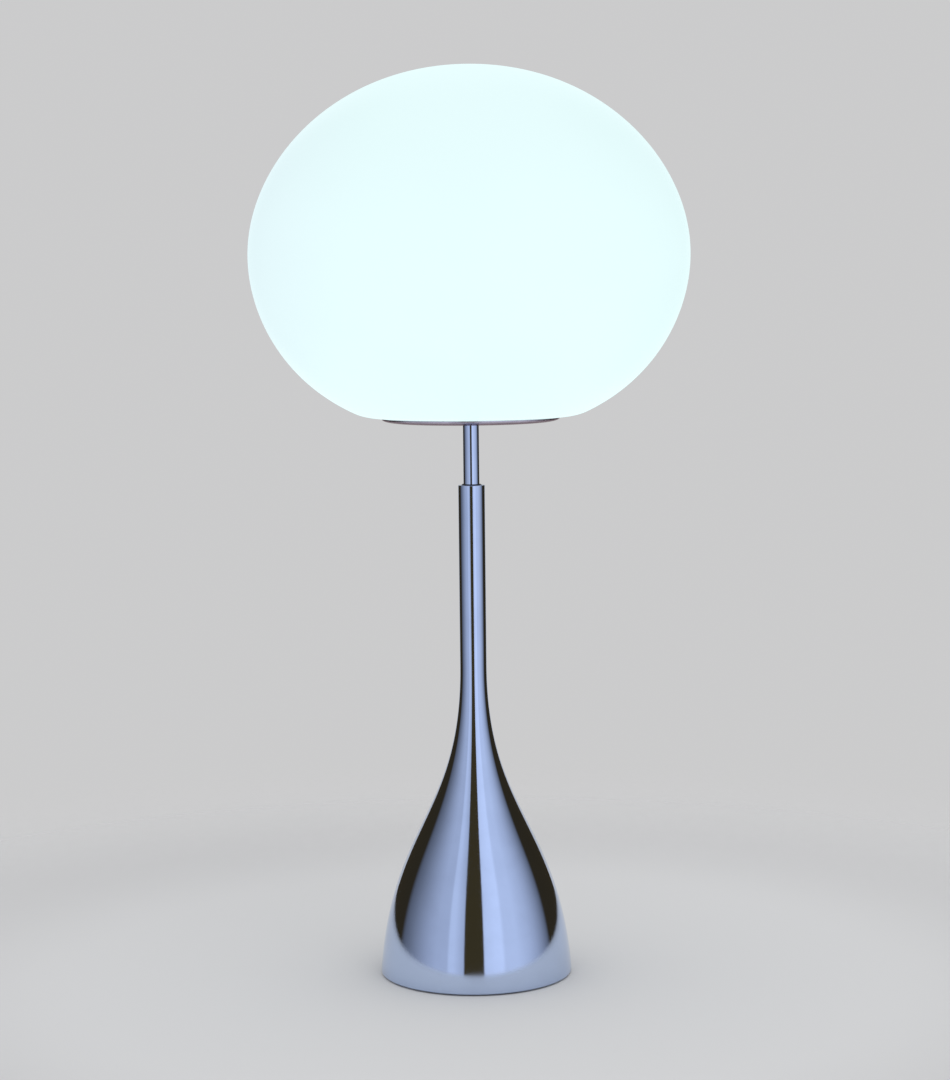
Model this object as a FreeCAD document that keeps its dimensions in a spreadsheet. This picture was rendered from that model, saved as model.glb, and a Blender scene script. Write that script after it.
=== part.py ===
import FreeCAD, Part
import math
import os

import Sketcher

# Table lamp with an opal glass globe on a slim chromed stem and a trumpet-shaped foot.
# Millimetres, +Z up. The origin is the middle of the underside, where the lamp stands.
# A *_top or *_bottom is a height above the table.

SIZES = {
    # foot and neck
    "base_radius": 72.0,
    "rim_lift": 1.0,
    "rim_corner": 2.4,
    "shell_wall": 3.0,
    "neck_radius": 10.0,
    "neck_top": 369.1,
    "neck_edge": 0.4,
    "flare_top": 233.5,
    "flare_upper_pull": 112.4,
    "flare_lower_pull": 113.4,
    "flare_lean": 9.8,
    # underside
    "felt_thickness": 2.0,
    "felt_margin": 3.0,
    "plate_clearance": 0.3,
    "base_plate_thickness": 2.5,
    "base_screw_circle": 50.0,
    "base_screw_radius": 2.0,
    "base_screw_head": 4.0,
    "base_screw_head_height": 2.0,
    "base_screw_length": 12.0,
    "boss_radius": 6.0,
    "boss_root": 2.0,
    "thread_gap": 0.05,
    # weight
    "ballast_bottom": 26.0,
    "ballast_thickness": 32.0,
    "ballast_clearance": 0.3,
    "nut_recess_radius": 20.0,
    "nut_recess_depth": 12.0,
    # threaded rod and its fasteners
    "rod_radius": 5.0,
    "rod_bore": 3.8,
    "rod_gap": 0.2,
    "rod_tail": 3.0,
    "rod_nut_flats": 17.0,
    "rod_nut_height": 5.0,
    "rod_washer_radius": 14.0,
    "rod_washer_thickness": 1.5,
    # neck bush and thin tube
    "bush_length": 30.0,
    "bush_recess": 0.5,
    "bush_wall": 1.95,
    "bush_ledge": 5.0,
    "bush_gap": 0.05,
    "bush_lip_width": 0.8,
    "bush_lip_height": 0.7,
    "tube_radius": 6.0,
    "tube_wall": 0.8,
    "tube_top": 415.1,
    # saucer under the glass
    "saucer_radius": 66.0,
    "saucer_flat": 42.0,
    "saucer_thickness": 2.5,
    "saucer_lip_height": 1.35,
    "saucer_lip_width": 1.4,
    "saucer_edge_run": 19.0,
    "saucer_edge_rise": 1.9,
    "gasket_inner": 53.0,
    "gasket_outer": 61.0,
    "gasket_thickness": 1.5,
    # clips that centre the glass
    "clip_thickness": 0.6,
    "clip_width": 8.0,
    "clip_foot_radius": 36.0,
    "clip_heel_radius": 50.4,
    "clip_shoulder": 5.2,
    "clip_straight": 2.8,
    "clip_tip_inset": 4.0,
    "clip_tip_rise": 10.0,
    "clip_clearance": 0.4,
    "rivet_circle": 40.5,
    "rivet_radius": 1.5,
    "rivet_head": 3.0,
    "rivet_head_height": 0.8,
    "rivet_gap": 0.05,
    # glass globe
    "globe_radius": 163.0,
    "globe_wall": 2.5,
    "globe_mouth": 55.0,
    "globe_flat": 58.0,
    "globe_equator": 119.7,
    "globe_crown": 138.7,
    "crown_pull": 98.9,
    "shoulder_pull": 66.9,
    "waist_pull": 42.8,
    "heel_radius": 86.3,
    "heel_rise": 4.15,
    "heel_angle": 25.0,
    "heel_outer_pull": 57.5,
    "heel_inner_pull": 8.0,
    "flat_pull": 12.0,
    # mains inlet at the back of the foot
    "inlet_height": 14.0,
    "inlet_bore": 3.5,
    "inlet_barrel": 5.5,
    "inlet_length": 10.0,
    "inlet_flange": 7.5,
    "inlet_flange_thickness": 1.5,
    "inlet_gap": 0.1,
    "inlet_nut_flats": 15.0,
    "inlet_nut_height": 4.0,
    "inlet_nut_inset": 2.5,
    # terminal block in the foot
    "block_length": 32.0,
    "block_width": 16.0,
    "block_height": 14.0,
    "block_front": 25.0,
    "pole_pitch": 10.0,
    "pole_height": 6.5,
    "pole_radius": 2.9,
    "pole_bore": 1.6,
    "pole_recess": 1.0,
    "pole_gap": 0.1,
    "pole_screw_radius": 1.5,
    "pole_screw_spread": 4.0,
    "pole_screw_sink": 1.0,
    "block_screw_radius": 1.5,
    "block_screw_head": 2.7,
    "block_screw_head_height": 2.0,
    # leads
    "lead_radius": 1.1,
    "lead_spread": 1.4,
    "lead_grip": 5.0,
    "lead_run_out": 6.0,
    "lead_fan_start": 2.0,
    "lead_fan_rise": 7.0,
    # earthing point on the weight
    "earth_right": 30.0,
    "earth_front": 6.0,
    "earth_ring_radius": 4.0,
    "earth_ring_thickness": 1.0,
    "earth_barrel_radius": 1.8,
    "earth_lead_reach": 16.0,
    "earth_lead_run_in": 4.4,
    "earth_barrel_length": 5.6,
    "earth_screw_radius": 2.0,
    "earth_screw_head": 3.8,
    "earth_screw_head_height": 2.6,
    "earth_screw_depth": 8.0,
    # lampholder
    "holder_radius": 19.0,
    "holder_hub_radius": 9.0,
    "holder_hub_height": 4.0,
    "holder_slope_height": 5.0,
    "holder_cap_height": 28.0,
    "holder_wall": 1.8,
    "holder_step_depth": 6.0,
    "holder_step_width": 1.8,
    "holder_rod_depth": 8.0,
    "holder_fit": 0.2,
    "insert_thickness": 10.0,
    "holder_body_height": 34.0,
    "holder_ledge": 1.0,
    "post_radius": 2.0,
    "post_bore": 1.25,
    "post_bore_depth": 4.0,
    "post_drop": 2.0,
    "post_gap": 0.1,
    "live_post": 4.5,
    "neutral_post": 11.2,
    "screw_shell_radius": 14.0,
    "screw_shell_wall": 0.5,
    "screw_shell_height": 26.0,
    "screw_shell_mouth": 8.0,
    "contact_width": 6.0,
    "contact_thickness": 0.4,
    "contact_reach": 7.0,
    "contact_foot": 3.5,
    "contact_rise": 4.0,
    "contact_tip": 2.5,
    # bulb
    "bulb_length": 108.0,
    "bulb_radius": 30.0,
    "bulb_contact_gap": 0.3,
    "bulb_thread_gap": 0.4,
    "bulb_cap_wall": 0.4,
    "bulb_cap_height": 22.0,
    "bulb_tip_radius": 4.5,
    "bulb_tip_height": 1.5,
    "insulator_radius": 11.5,
    "insulator_height": 4.0,
    "insulator_rim": 1.0,
    "bulb_glass_wall": 0.8,
    "bulb_glass_gap": 0.3,
    "bulb_neck_depth": 12.0,
    "bulb_neck_above_cap": 2.0,
    "bulb_neck_pull": 16.0,
    "bulb_side_pull": 24.0,
    "bulb_mount_radius": 4.0,
    "bulb_mount_height": 30.0,
    "filament_radius": 0.9,
    "filament_length": 34.0,
    "filament_circle": 9.0,
    "frame_wire": 0.5,
    "frame_disc": 10.0,
}

CLIP_COUNT = 3
BASE_SCREW_COUNT = 3
FILAMENT_COUNT = 4
POLES = (-1, 0, 1)
BEZIER_TO_CIRCLE = 0.5523

doc = FreeCAD.newDocument("glass_globe_table_lamp")
pieces = {}


# Sizes, and the sheet that holds them


def write_sheet():
    """Fill the sheet with one named row for each driving dimension."""
    sheet = doc.addObject("Spreadsheet::Sheet", "sizes")
    for row, (name, value) in enumerate(SIZES.items(), start=1):
        sheet.set(f"A{row}", name)
        sheet.set(f"B{row}", str(value))
        sheet.setAlias(f"B{row}", name)
    doc.recompute()
    return sheet


class Size:
    """A dimension, with the sheet formula that gives it."""

    def __init__(self, value, text):
        self.value = value
        self.text = text

    def __add__(self, other):
        other = as_size(other)
        return Size(self.value + other.value, f"({self.text} + {other.text})")

    def __sub__(self, other):
        other = as_size(other)
        return Size(self.value - other.value, f"({self.text} - {other.text})")

    def __mul__(self, other):
        other = as_size(other)
        return Size(self.value * other.value, f"({self.text} * {other.text})")

    def __truediv__(self, other):
        other = as_size(other)
        return Size(self.value / other.value, f"({self.text} / {other.text})")

    def __neg__(self):
        return self * -1

    __radd__ = __add__
    __rmul__ = __mul__


def as_size(number):
    """Take a plain number as a size."""
    if isinstance(number, Size):
        return number
    return Size(float(number), f"({number})")


def cosine(degrees):
    """Cosine of an angle in degrees."""
    degrees = as_size(degrees)
    return Size(math.cos(math.radians(degrees.value)), f"cos({degrees.text})")


def sine(degrees):
    """Sine of an angle in degrees."""
    degrees = as_size(degrees)
    return Size(math.sin(math.radians(degrees.value)), f"sin({degrees.text})")


def around(radius, degrees):
    """The x and y of a point at a radius and an angle."""
    return radius * cosine(degrees), radius * sine(degrees)


class Sizes:
    """The driving dimensions by name, and the places that follow from them."""

    def __getattr__(self, name):
        return Size(float(sheet.get(name)), f"sizes.{name}")

    @property
    def flare_foot(self):
        return self.rim_lift + self.rim_corner

    @property
    def base_plate_top(self):
        return self.felt_thickness + self.base_plate_thickness

    @property
    def base_plate_radius(self):
        return self.base_radius - self.shell_wall - self.plate_clearance

    @property
    def felt_radius(self):
        return self.base_plate_radius - self.felt_margin

    @property
    def ballast_top(self):
        return self.ballast_bottom + self.ballast_thickness

    @property
    def washer_seat(self):
        return self.ballast_bottom + self.nut_recess_depth

    @property
    def rod_bottom(self):
        return self.washer_seat - self.rod_washer_thickness - self.rod_nut_height - self.rod_tail

    @property
    def rod_hole(self):
        return self.rod_radius + self.rod_gap

    @property
    def bush_top(self):
        return self.neck_top - self.bush_recess

    @property
    def bush_bottom(self):
        return self.bush_top - self.bush_length

    @property
    def bush_bore(self):
        return self.tube_radius + self.bush_gap

    @property
    def bush_outer(self):
        return self.bush_bore + self.bush_wall

    @property
    def tube_bottom(self):
        return self.bush_bottom + self.bush_ledge

    @property
    def saucer_floor(self):
        return self.tube_top + self.saucer_thickness

    @property
    def globe_seat(self):
        return self.saucer_floor + self.gasket_thickness

    @property
    def holder_bottom(self):
        return self.saucer_floor + self.rod_washer_thickness + self.rod_nut_height

    @property
    def rod_top(self):
        return self.holder_bottom + self.holder_rod_depth

    @property
    def holder_cap_top(self):
        return self.holder_bottom + self.holder_cap_height

    @property
    def insert_bottom(self):
        return self.holder_cap_top - self.holder_step_depth

    @property
    def insert_top(self):
        return self.insert_bottom + self.insert_thickness

    @property
    def bulb_bottom(self):
        return self.insert_top + self.contact_rise + self.bulb_contact_gap

    @property
    def insulator_bottom(self):
        return self.bulb_bottom + self.bulb_tip_height

    @property
    def bulb_cap_bottom(self):
        return self.insulator_bottom + self.insulator_height

    @property
    def bulb_cap_top(self):
        return self.bulb_cap_bottom + self.bulb_cap_height

    @property
    def bulb_cap_radius(self):
        return self.screw_shell_radius - self.screw_shell_wall - self.bulb_thread_gap

    @property
    def mount_top(self):
        return self.bulb_cap_top + self.bulb_mount_height

    @property
    def earth_lead_corner(self):
        return self.earth_right - self.earth_lead_reach

    @property
    def earth_barrel_start(self):
        return self.earth_lead_corner + self.earth_lead_run_in

    @property
    def earth_barrel_end(self):
        return self.earth_barrel_start + self.earth_barrel_length

    @property
    def earth_barrel_axis(self):
        return self.ballast_bottom - self.earth_barrel_radius

    @property
    def pole_axis(self):
        return self.base_plate_top + self.pole_height

    @property
    def block_middle(self):
        return self.block_front + self.block_width / 2


sheet = write_sheet()
size = Sizes()


# Ways of making a piece


class Curve:
    """A stretch of outline: a cubic curve with two pulling points and an end."""

    def __init__(self, first_pull, second_pull, end):
        self.pulls = (first_pull, second_pull)
        self.end = end


def bind(thing, name, value):
    """Tie a property of an object to a size."""
    thing.setExpression(name, as_size(value).text)


def vector(point):
    """A drawing point as a vector."""
    across, up = point
    return FreeCAD.Vector(as_size(across).value, as_size(up).value, 0)


def pin(sketch, geometry, end, point, name):
    """Hold one end of a drawn line, or the middle of a circle, at a point of the drawing."""
    across, up = as_size(point[0]), as_size(point[1])
    for kind, value, axis, side in (("DistanceX", across, -2, "x"), ("DistanceY", up, -1, "y")):
        if value.value == 0:
            sketch.addConstraint(Sketcher.Constraint("PointOnObject", geometry, end, axis))
            continue
        held = sketch.addConstraint(Sketcher.Constraint(kind, -1, 1, geometry, end, value.value))
        sketch.renameConstraint(held, f"{name}_{side}")
        sketch.setExpression(f"Constraints.{name}_{side}", value.text)


def draw_curve(sketch, start, curve, name):
    """Draw one cubic curve and hold its two pulling points."""
    points = [start, *curve.pulls, curve.end]
    spline = Part.BSplineCurve()
    spline.buildFromPolesMultsKnots([vector(p) for p in points], [4, 4], [0, 1], False, 3)
    drawn = sketch.addGeometry(spline, False)
    first = None
    for order, pull in enumerate(points):
        pole = sketch.addGeometry(Part.Circle(vector(pull), FreeCAD.Vector(0, 0, 1), 1.0), True)
        if first is None:
            first = pole
            sketch.addConstraint(Sketcher.Constraint("Weight", pole, 1.0))
        else:
            sketch.addConstraint(Sketcher.Constraint("Equal", first, pole))
        role = "InternalAlignment:Sketcher::BSplineControlPoint"
        sketch.addConstraint(Sketcher.Constraint(role, pole, 3, drawn, order))
        if order in (1, 2):
            pin(sketch, pole, 3, pull, f"{name}_pull{order}")
    return drawn


def outline(body, path, plane="XZ_Plane"):
    """Draw a closed outline, across and up, on a middle plane of a body."""
    sketch = body.newObject("Sketcher::SketchObject", f"{body.Name}_outline")
    origin_plane = next(f for f in body.Origin.OriginFeatures if f.Role == plane)
    sketch.AttachmentSupport = (origin_plane, [""])
    sketch.MapMode = "FlatFace"
    corners = [step.end if isinstance(step, Curve) else step for step in path]
    drawn = []
    for order, start in enumerate(corners):
        step = path[(order + 1) % len(path)]
        if isinstance(step, Curve):
            drawn.append(draw_curve(sketch, start, step, f"curve{order}"))
        else:
            drawn.append(sketch.addGeometry(Part.LineSegment(vector(start), vector(step)), False))
    for order, geometry in enumerate(drawn):
        following = drawn[(order + 1) % len(drawn)]
        sketch.addConstraint(Sketcher.Constraint("Coincident", geometry, 2, following, 1))
        pin(sketch, geometry, 1, corners[order], f"corner{order}")
    doc.recompute()
    return sketch


def turned(name, path):
    """A piece turned about the middle axis from its outline, radius and height."""
    body = doc.addObject("PartDesign::Body", name)
    sketch = outline(body, path)
    revolution = body.newObject("PartDesign::Revolution", f"{name}_turning")
    revolution.Profile = sketch
    revolution.ReferenceAxis = (sketch, ["V_Axis"])
    revolution.Angle = 360
    return body


def strip(name, path, width, count=1):
    """A bent strip from its side outline, repeated evenly round the middle axis."""
    body = doc.addObject("PartDesign::Body", name)
    body.AllowCompound = True
    sketch = outline(body, path)
    pad = body.newObject("PartDesign::Pad", f"{name}_width")
    pad.Profile = sketch
    pad.Midplane = True
    bind(pad, "Length", width)
    if count > 1:
        doc.recompute()
        pattern = body.newObject("PartDesign::PolarPattern", f"{name}_pattern")
        pattern.Originals = [pad]
        pattern.Axis = (next(f for f in body.Origin.OriginFeatures if f.Role == "Z_Axis"), [""])
        pattern.Angle = 360
        pattern.Occurrences = count
        body.Tip = pattern
    return body


UP = FreeCAD.Rotation()
BACKWARD = FreeCAD.Rotation(FreeCAD.Vector(1, 0, 0), -90)
RIGHTWARD = FreeCAD.Rotation(FreeCAD.Vector(0, 1, 0), 90)


def place(thing, at, turn=UP):
    """Put an object at a point, tied to the sizes."""
    thing.Placement = FreeCAD.Placement(FreeCAD.Vector(), turn)
    for side, value in zip("xyz", at):
        bind(thing, f"Placement.Base.{side}", value)
    return thing


def cylinder(name, radius, length, at, turn=UP):
    """A round bar."""
    bar = doc.addObject("Part::Cylinder", name)
    bind(bar, "Radius", radius)
    bind(bar, "Height", length)
    return place(bar, at, turn)


def cone(name, lower, upper, length, at):
    """A bar that tapers from a lower to an upper radius."""
    bar = doc.addObject("Part::Cone", name)
    bind(bar, "Radius1", lower)
    bind(bar, "Radius2", upper)
    bind(bar, "Height", length)
    return place(bar, at)


def hexagon(name, flats, length, at, turn=UP):
    """A six-sided bar, given across its flats."""
    bar = doc.addObject("Part::Prism", name)
    bar.Polygon = 6
    bind(bar, "Circumradius", flats / (2 * cosine(30)))
    bind(bar, "Height", length)
    return place(bar, at, turn)


def box(name, lengths, at):
    """A block, placed by its left front lower corner."""
    block = doc.addObject("Part::Box", name)
    for side, value in zip(("Length", "Width", "Height"), lengths):
        bind(block, side, value)
    return place(block, at)


def join(name, members):
    """Solids made into one."""
    fusion = doc.addObject("Part::MultiFuse", name)
    fusion.Shapes = members
    return fusion


def group(name, members):
    """Alike solids that stay separate."""
    compound = doc.addObject("Part::Compound", name)
    compound.Links = members
    return compound


def cut(name, base, tools):
    """A solid less some others."""
    taken = tools[0] if len(tools) == 1 else group(f"{name}_cuts", tools)
    rest = doc.addObject("Part::Cut", name)
    rest.Base = base
    rest.Tool = taken
    return rest


def keep(name, thing):
    """Name a finished piece and list it for export."""
    thing.Label = name
    pieces[name] = thing
    return thing


# Foot and neck


def flare(inset, lean_inset):
    """The trumpet curve, drawn upwards, moved inwards by a wall."""
    foot_radius = size.base_radius - inset
    throat_radius = size.neck_radius - lean_inset
    return Curve(
        (foot_radius - size.flare_lean, size.flare_foot + size.flare_lower_pull),
        (throat_radius, size.flare_top - size.flare_upper_pull),
        (throat_radius, size.flare_top),
    )


def flare_down(inset, lean_inset):
    """The same curve drawn downwards."""
    rising = flare(inset, lean_inset)
    lower, upper = rising.pulls
    return Curve(upper, lower, (size.base_radius - inset, size.flare_foot))


def make_base_shell():
    """Neck and foot in one piece: tube above, trumpet below, open underneath."""
    wall = size.shell_wall
    lower_bore = size.neck_radius - wall
    corner = size.rim_corner
    round_pull = corner * (1 - BEZIER_TO_CIRCLE)
    body = turned("base_shell_turned", [
        (size.base_radius - wall, size.rim_lift),
        (size.base_radius - corner, size.rim_lift),
        Curve(
            (size.base_radius - round_pull, size.rim_lift),
            (size.base_radius, size.rim_lift + round_pull),
            (size.base_radius, size.flare_foot),
        ),
        flare(0, 0),
        (size.neck_radius, size.neck_top - size.neck_edge),
        (size.neck_radius - size.neck_edge, size.neck_top),
        (size.bush_outer + size.bush_gap, size.neck_top),
        (size.bush_outer + size.bush_gap, size.bush_bottom),
        (lower_bore, size.bush_bottom),
        (lower_bore, size.flare_top),
        flare_down(wall, wall),
    ])
    hole = cylinder(
        "inlet_hole",
        size.inlet_barrel + size.inlet_gap,
        size.inlet_length + 2 * size.shell_wall,
        (0, size.base_radius - size.inlet_length - size.shell_wall, size.inlet_height),
        BACKWARD,
    )
    keep("base_shell", cut("base_shell", body, [hole]))


def make_neck_bush():
    """Stepped bush in the mouth of the neck, with a thin lip above it; the thin tube stands on its ledge."""
    keep("neck_bush", turned("neck_bush", [
        (size.rod_hole, size.bush_bottom),
        (size.bush_outer, size.bush_bottom),
        (size.bush_outer, size.bush_top),
        (size.bush_bore + size.bush_lip_width, size.bush_top),
        (size.bush_bore + size.bush_lip_width, size.neck_top + size.bush_lip_height),
        (size.bush_bore, size.neck_top + size.bush_lip_height),
        (size.bush_bore, size.tube_bottom),
        (size.rod_hole, size.tube_bottom),
    ]))


def make_upper_tube():
    """The thin tube, from the bush to the saucer."""
    inner = size.tube_radius - size.tube_wall
    keep("upper_tube", turned("upper_tube", [
        (inner, size.tube_bottom),
        (size.tube_radius, size.tube_bottom),
        (size.tube_radius, size.tube_top),
        (inner, size.tube_top),
    ]))


def make_threaded_rod():
    """Hollow rod that clamps the whole stack and carries the leads."""
    keep("threaded_tube", turned("threaded_tube", [
        (size.rod_bore, size.rod_bottom),
        (size.rod_radius, size.rod_bottom),
        (size.rod_radius, size.rod_top),
        (size.rod_bore, size.rod_top),
    ]))


# Weight and underside


def screw_places():
    """Where the base plate is screwed to the weight."""
    for order in range(BASE_SCREW_COUNT):
        yield order, around(size.base_screw_circle, order * 360 / BASE_SCREW_COUNT)


def make_ballast():
    """Cast weight that follows the inside of the foot, with bosses down to the base plate."""
    inset = size.shell_wall + size.ballast_clearance
    core = turned("ballast_core", [
        (0, size.flare_foot),
        (size.base_radius - inset, size.flare_foot),
        flare(inset, inset),
        (0, size.flare_top),
    ])
    slab = cylinder("ballast_slab", size.base_radius, size.ballast_thickness, (0, 0, size.ballast_bottom))
    trimmed = doc.addObject("Part::Common", "ballast_trimmed")
    trimmed.Base = core
    trimmed.Tool = slab
    boss_height = size.ballast_bottom - size.base_plate_top + size.boss_root
    bosses = []
    holes = [
        cylinder("ballast_rod_hole", size.rod_hole, size.ballast_top, (0, 0, 0)),
        cylinder(
            "ballast_nut_recess",
            size.nut_recess_radius,
            size.nut_recess_depth,
            (0, 0, size.ballast_bottom),
        ),
        cylinder(
            "ballast_earth_hole",
            size.earth_screw_radius + size.thread_gap,
            size.earth_screw_depth + size.thread_gap,
            (size.earth_right, -size.earth_front, size.ballast_bottom),
        ),
    ]
    for order, (right, back) in screw_places():
        at = (right, back, size.base_plate_top)
        bosses.append(cylinder(f"ballast_boss_{order}", size.boss_radius, boss_height, at))
        bore = size.base_screw_radius + size.thread_gap
        holes.append(cylinder(f"ballast_screw_hole_{order}", bore, size.base_screw_length, at))
    solid = join("ballast_solid", [trimmed, *bosses])
    keep("ballast_weight", cut("ballast_weight", solid, holes))


def make_washer(name, bottom):
    """Large flat washer on the rod."""
    keep(name, turned(name, [
        (size.rod_hole, bottom),
        (size.rod_washer_radius, bottom),
        (size.rod_washer_radius, bottom + size.rod_washer_thickness),
        (size.rod_hole, bottom + size.rod_washer_thickness),
    ]))


def make_nut(name, bottom):
    """Six-sided nut on the rod."""
    blank = hexagon(f"{name}_blank", size.rod_nut_flats, size.rod_nut_height, (0, 0, bottom))
    bore = cylinder(f"{name}_bore", size.rod_radius + size.thread_gap, size.rod_nut_height, (0, 0, bottom))
    keep(name, cut(name, blank, [bore]))


def make_base_plate():
    """Steel disc that closes the foot, countersunk for its screws."""
    bottom = size.felt_thickness
    disc = cylinder(
        "base_plate_disc",
        size.base_plate_radius,
        size.base_plate_thickness,
        (0, 0, bottom),
    )
    gap = size.thread_gap
    holes = []
    for order, (right, back) in screw_places():
        at = (right, back, bottom)
        bore = size.base_screw_radius + gap
        holes.append(cylinder(f"base_plate_hole_{order}", bore, size.base_plate_thickness, at))
        holes.append(cone(
            f"base_plate_sink_{order}",
            size.base_screw_head + gap,
            bore,
            size.base_screw_head_height,
            at,
        ))
    for side in (-1, 1):
        at = (side * size.pole_pitch / 2, size.block_middle, bottom)
        bore = size.block_screw_radius + gap
        holes.append(cylinder(f"base_plate_block_hole_{side + 1}", bore, size.base_plate_thickness, at))
    keep("base_plate", cut("base_plate", disc, holes))


def make_base_plate_screws():
    """Countersunk screws up into the bosses of the weight."""
    screws = []
    for order, (right, back) in screw_places():
        at = (right, back, size.felt_thickness)
        head = cone(
            f"base_screw_head_{order}",
            size.base_screw_head,
            size.base_screw_radius,
            size.base_screw_head_height,
            at,
        )
        shank = cylinder(f"base_screw_shank_{order}", size.base_screw_radius, size.base_screw_length, at)
        screws.append(join(f"base_screw_{order}", [head, shank]))
    keep("base_plate_screws", group("base_plate_screws", screws))


def make_felt_pad():
    """Felt disc that the lamp stands on."""
    keep("felt_pad", cylinder("felt_pad", size.felt_radius, size.felt_thickness, (0, 0, 0)))


# Mains inlet and terminal block


def make_inlet():
    """Bush for the mains cord through the back of the foot, and its nut inside."""
    inner_end = size.base_radius - size.inlet_length
    outer_end = size.base_radius + size.thread_gap
    height = size.inlet_height
    inner_centre = (0, inner_end, height)
    barrel = cylinder("inlet_barrel", size.inlet_barrel, outer_end - inner_end, inner_centre, BACKWARD)
    flange = cylinder(
        "inlet_flange",
        size.inlet_flange,
        size.inlet_flange_thickness,
        (0, outer_end, height),
        BACKWARD,
    )
    bore_length = outer_end - inner_end + size.inlet_flange_thickness
    bore = cylinder("inlet_bore", size.inlet_bore, bore_length, inner_centre, BACKWARD)
    keep("inlet_bush", cut("inlet_bush", join("inlet_solid", [barrel, flange]), [bore]))
    nut_start = size.base_radius - size.shell_wall - size.inlet_nut_inset - size.inlet_nut_height
    at = (0, nut_start, height)
    blank = hexagon("inlet_nut_blank", size.inlet_nut_flats, size.inlet_nut_height, at, BACKWARD)
    thread = cylinder(
        "inlet_nut_bore",
        size.inlet_barrel + size.inlet_gap,
        size.inlet_nut_height,
        at,
        BACKWARD,
    )
    keep("inlet_nut", cut("inlet_nut", blank, [thread]))


def pole_right(pole):
    """How far right of the middle a pole of the terminal block lies."""
    return pole * size.pole_pitch


def pole_screw_places():
    """Two clamping screws over each pole."""
    for pole in POLES:
        for side in (-1, 1):
            name = f"{pole + 1}_{(side + 1) // 2}"
            yield name, pole_right(pole), size.block_middle + side * size.pole_screw_spread


def make_terminal_block():
    """Three-pole block on the base plate, its brass inserts and all its screws."""
    gap = size.pole_gap
    block = box(
        "block_solid",
        (size.block_length, size.block_width, size.block_height),
        (-size.block_length / 2, size.block_front, size.base_plate_top),
    )
    upper = size.block_height - size.pole_height
    insert_length = size.block_width - 2 * size.pole_recess
    block_holes, inserts, screws = [], [], []
    for pole in POLES:
        at = (pole_right(pole), size.block_front, size.pole_axis)
        hole = cylinder(f"block_pole_{pole + 1}", size.pole_radius + gap, size.block_width, at, BACKWARD)
        block_holes.append(hole)
    for name, right, back in pole_screw_places():
        at = (right, back, size.pole_axis)
        block_holes.append(cylinder(f"block_access_{name}", size.pole_screw_radius + gap, upper, at))
        tip = (right, back, size.pole_axis + size.lead_radius + gap)
        length = upper - size.lead_radius - gap - size.pole_screw_sink
        screws.append(cylinder(f"pole_screw_{name}", size.pole_screw_radius, length, tip))
    for pole in POLES:
        at = (pole_right(pole), size.block_front + size.pole_recess, size.pole_axis)
        bar = cylinder(f"insert_bar_{pole + 1}", size.pole_radius, insert_length, at, BACKWARD)
        tools = [cylinder(f"insert_bore_{pole + 1}", size.pole_bore, insert_length, at, BACKWARD)]
        for side in (-1, 1):
            back = size.block_middle + side * size.pole_screw_spread
            tools.append(cylinder(
                f"insert_thread_{pole + 1}_{(side + 1) // 2}",
                size.pole_screw_radius + size.thread_gap,
                size.pole_radius,
                (pole_right(pole), back, size.pole_axis),
            ))
        inserts.append(cut(f"insert_{pole + 1}", bar, tools))
    fixings = []
    head_bottom = size.base_plate_top + size.block_height - size.block_screw_head_height
    for side in (-1, 1):
        right = side * size.pole_pitch / 2
        hole_at = (right, size.block_middle, size.base_plate_top)
        block_holes.append(cylinder(
            f"block_fixing_hole_{side + 1}",
            size.block_screw_radius + gap,
            size.block_height,
            hole_at,
        ))
        shank = cylinder(
            f"block_screw_shank_{side + 1}",
            size.block_screw_radius,
            size.block_height + size.base_plate_thickness,
            (right, size.block_middle, size.felt_thickness),
        )
        head = cylinder(
            f"block_screw_head_{side + 1}",
            size.block_screw_head,
            size.block_screw_head_height,
            (right, size.block_middle, head_bottom + size.block_screw_head_height),
        )
        fixings.append(join(f"block_screw_{side + 1}", [shank, head]))
    keep("terminal_block", cut("terminal_block", block, block_holes))
    keep("terminal_inserts", group("terminal_inserts", inserts))
    keep("terminal_screws", group("terminal_screws", screws))
    keep("terminal_block_screws", group("terminal_block_screws", fixings))


# Leads


def point(right, back, up):
    """A point of a lead's route."""
    return FreeCAD.Vector(as_size(right).value, as_size(back).value, as_size(up).value)


def lead(name, route):
    """An insulated lead: straight runs joined by tangent arcs."""
    radius = size.lead_radius.value
    edges = []
    start = route[0]
    length = 0
    for before, corner, after in zip(route, route[1:], route[2:]):
        incoming = (corner - before).normalize()
        outgoing = (after - corner).normalize()
        turn = incoming.getAngle(outgoing)
        bend = 0.45 * min((corner - before).Length, (after - corner).Length) / math.tan(turn / 2)
        tangent = bend * math.tan(turn / 2)
        first = corner - incoming * tangent
        last = corner + outgoing * tangent
        inward = (outgoing - incoming).normalize()
        middle = corner + inward * (bend / math.cos(turn / 2) - bend)
        edges.append(Part.LineSegment(start, first).toShape())
        edges.append(Part.Arc(first, middle, last).toShape())
        length += (first - start).Length + bend * turn
        start = last
        print(f"{name}: bend radius {bend:.1f} mm")
    edges.append(Part.LineSegment(start, route[-1]).toShape())
    length += (route[-1] - start).Length
    section = Part.Wire([Part.Circle(route[0], route[1] - route[0], radius).toShape()])
    tube = Part.Wire(edges).makePipeShell([section], True, False)
    expected = math.pi * radius ** 2 * length
    print(f"{name}: volume {tube.Volume:.1f} mm3, section times length {expected:.1f} mm3")
    wire = doc.addObject("Part::Feature", name)
    wire.Shape = tube
    keep(name, wire)


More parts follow.
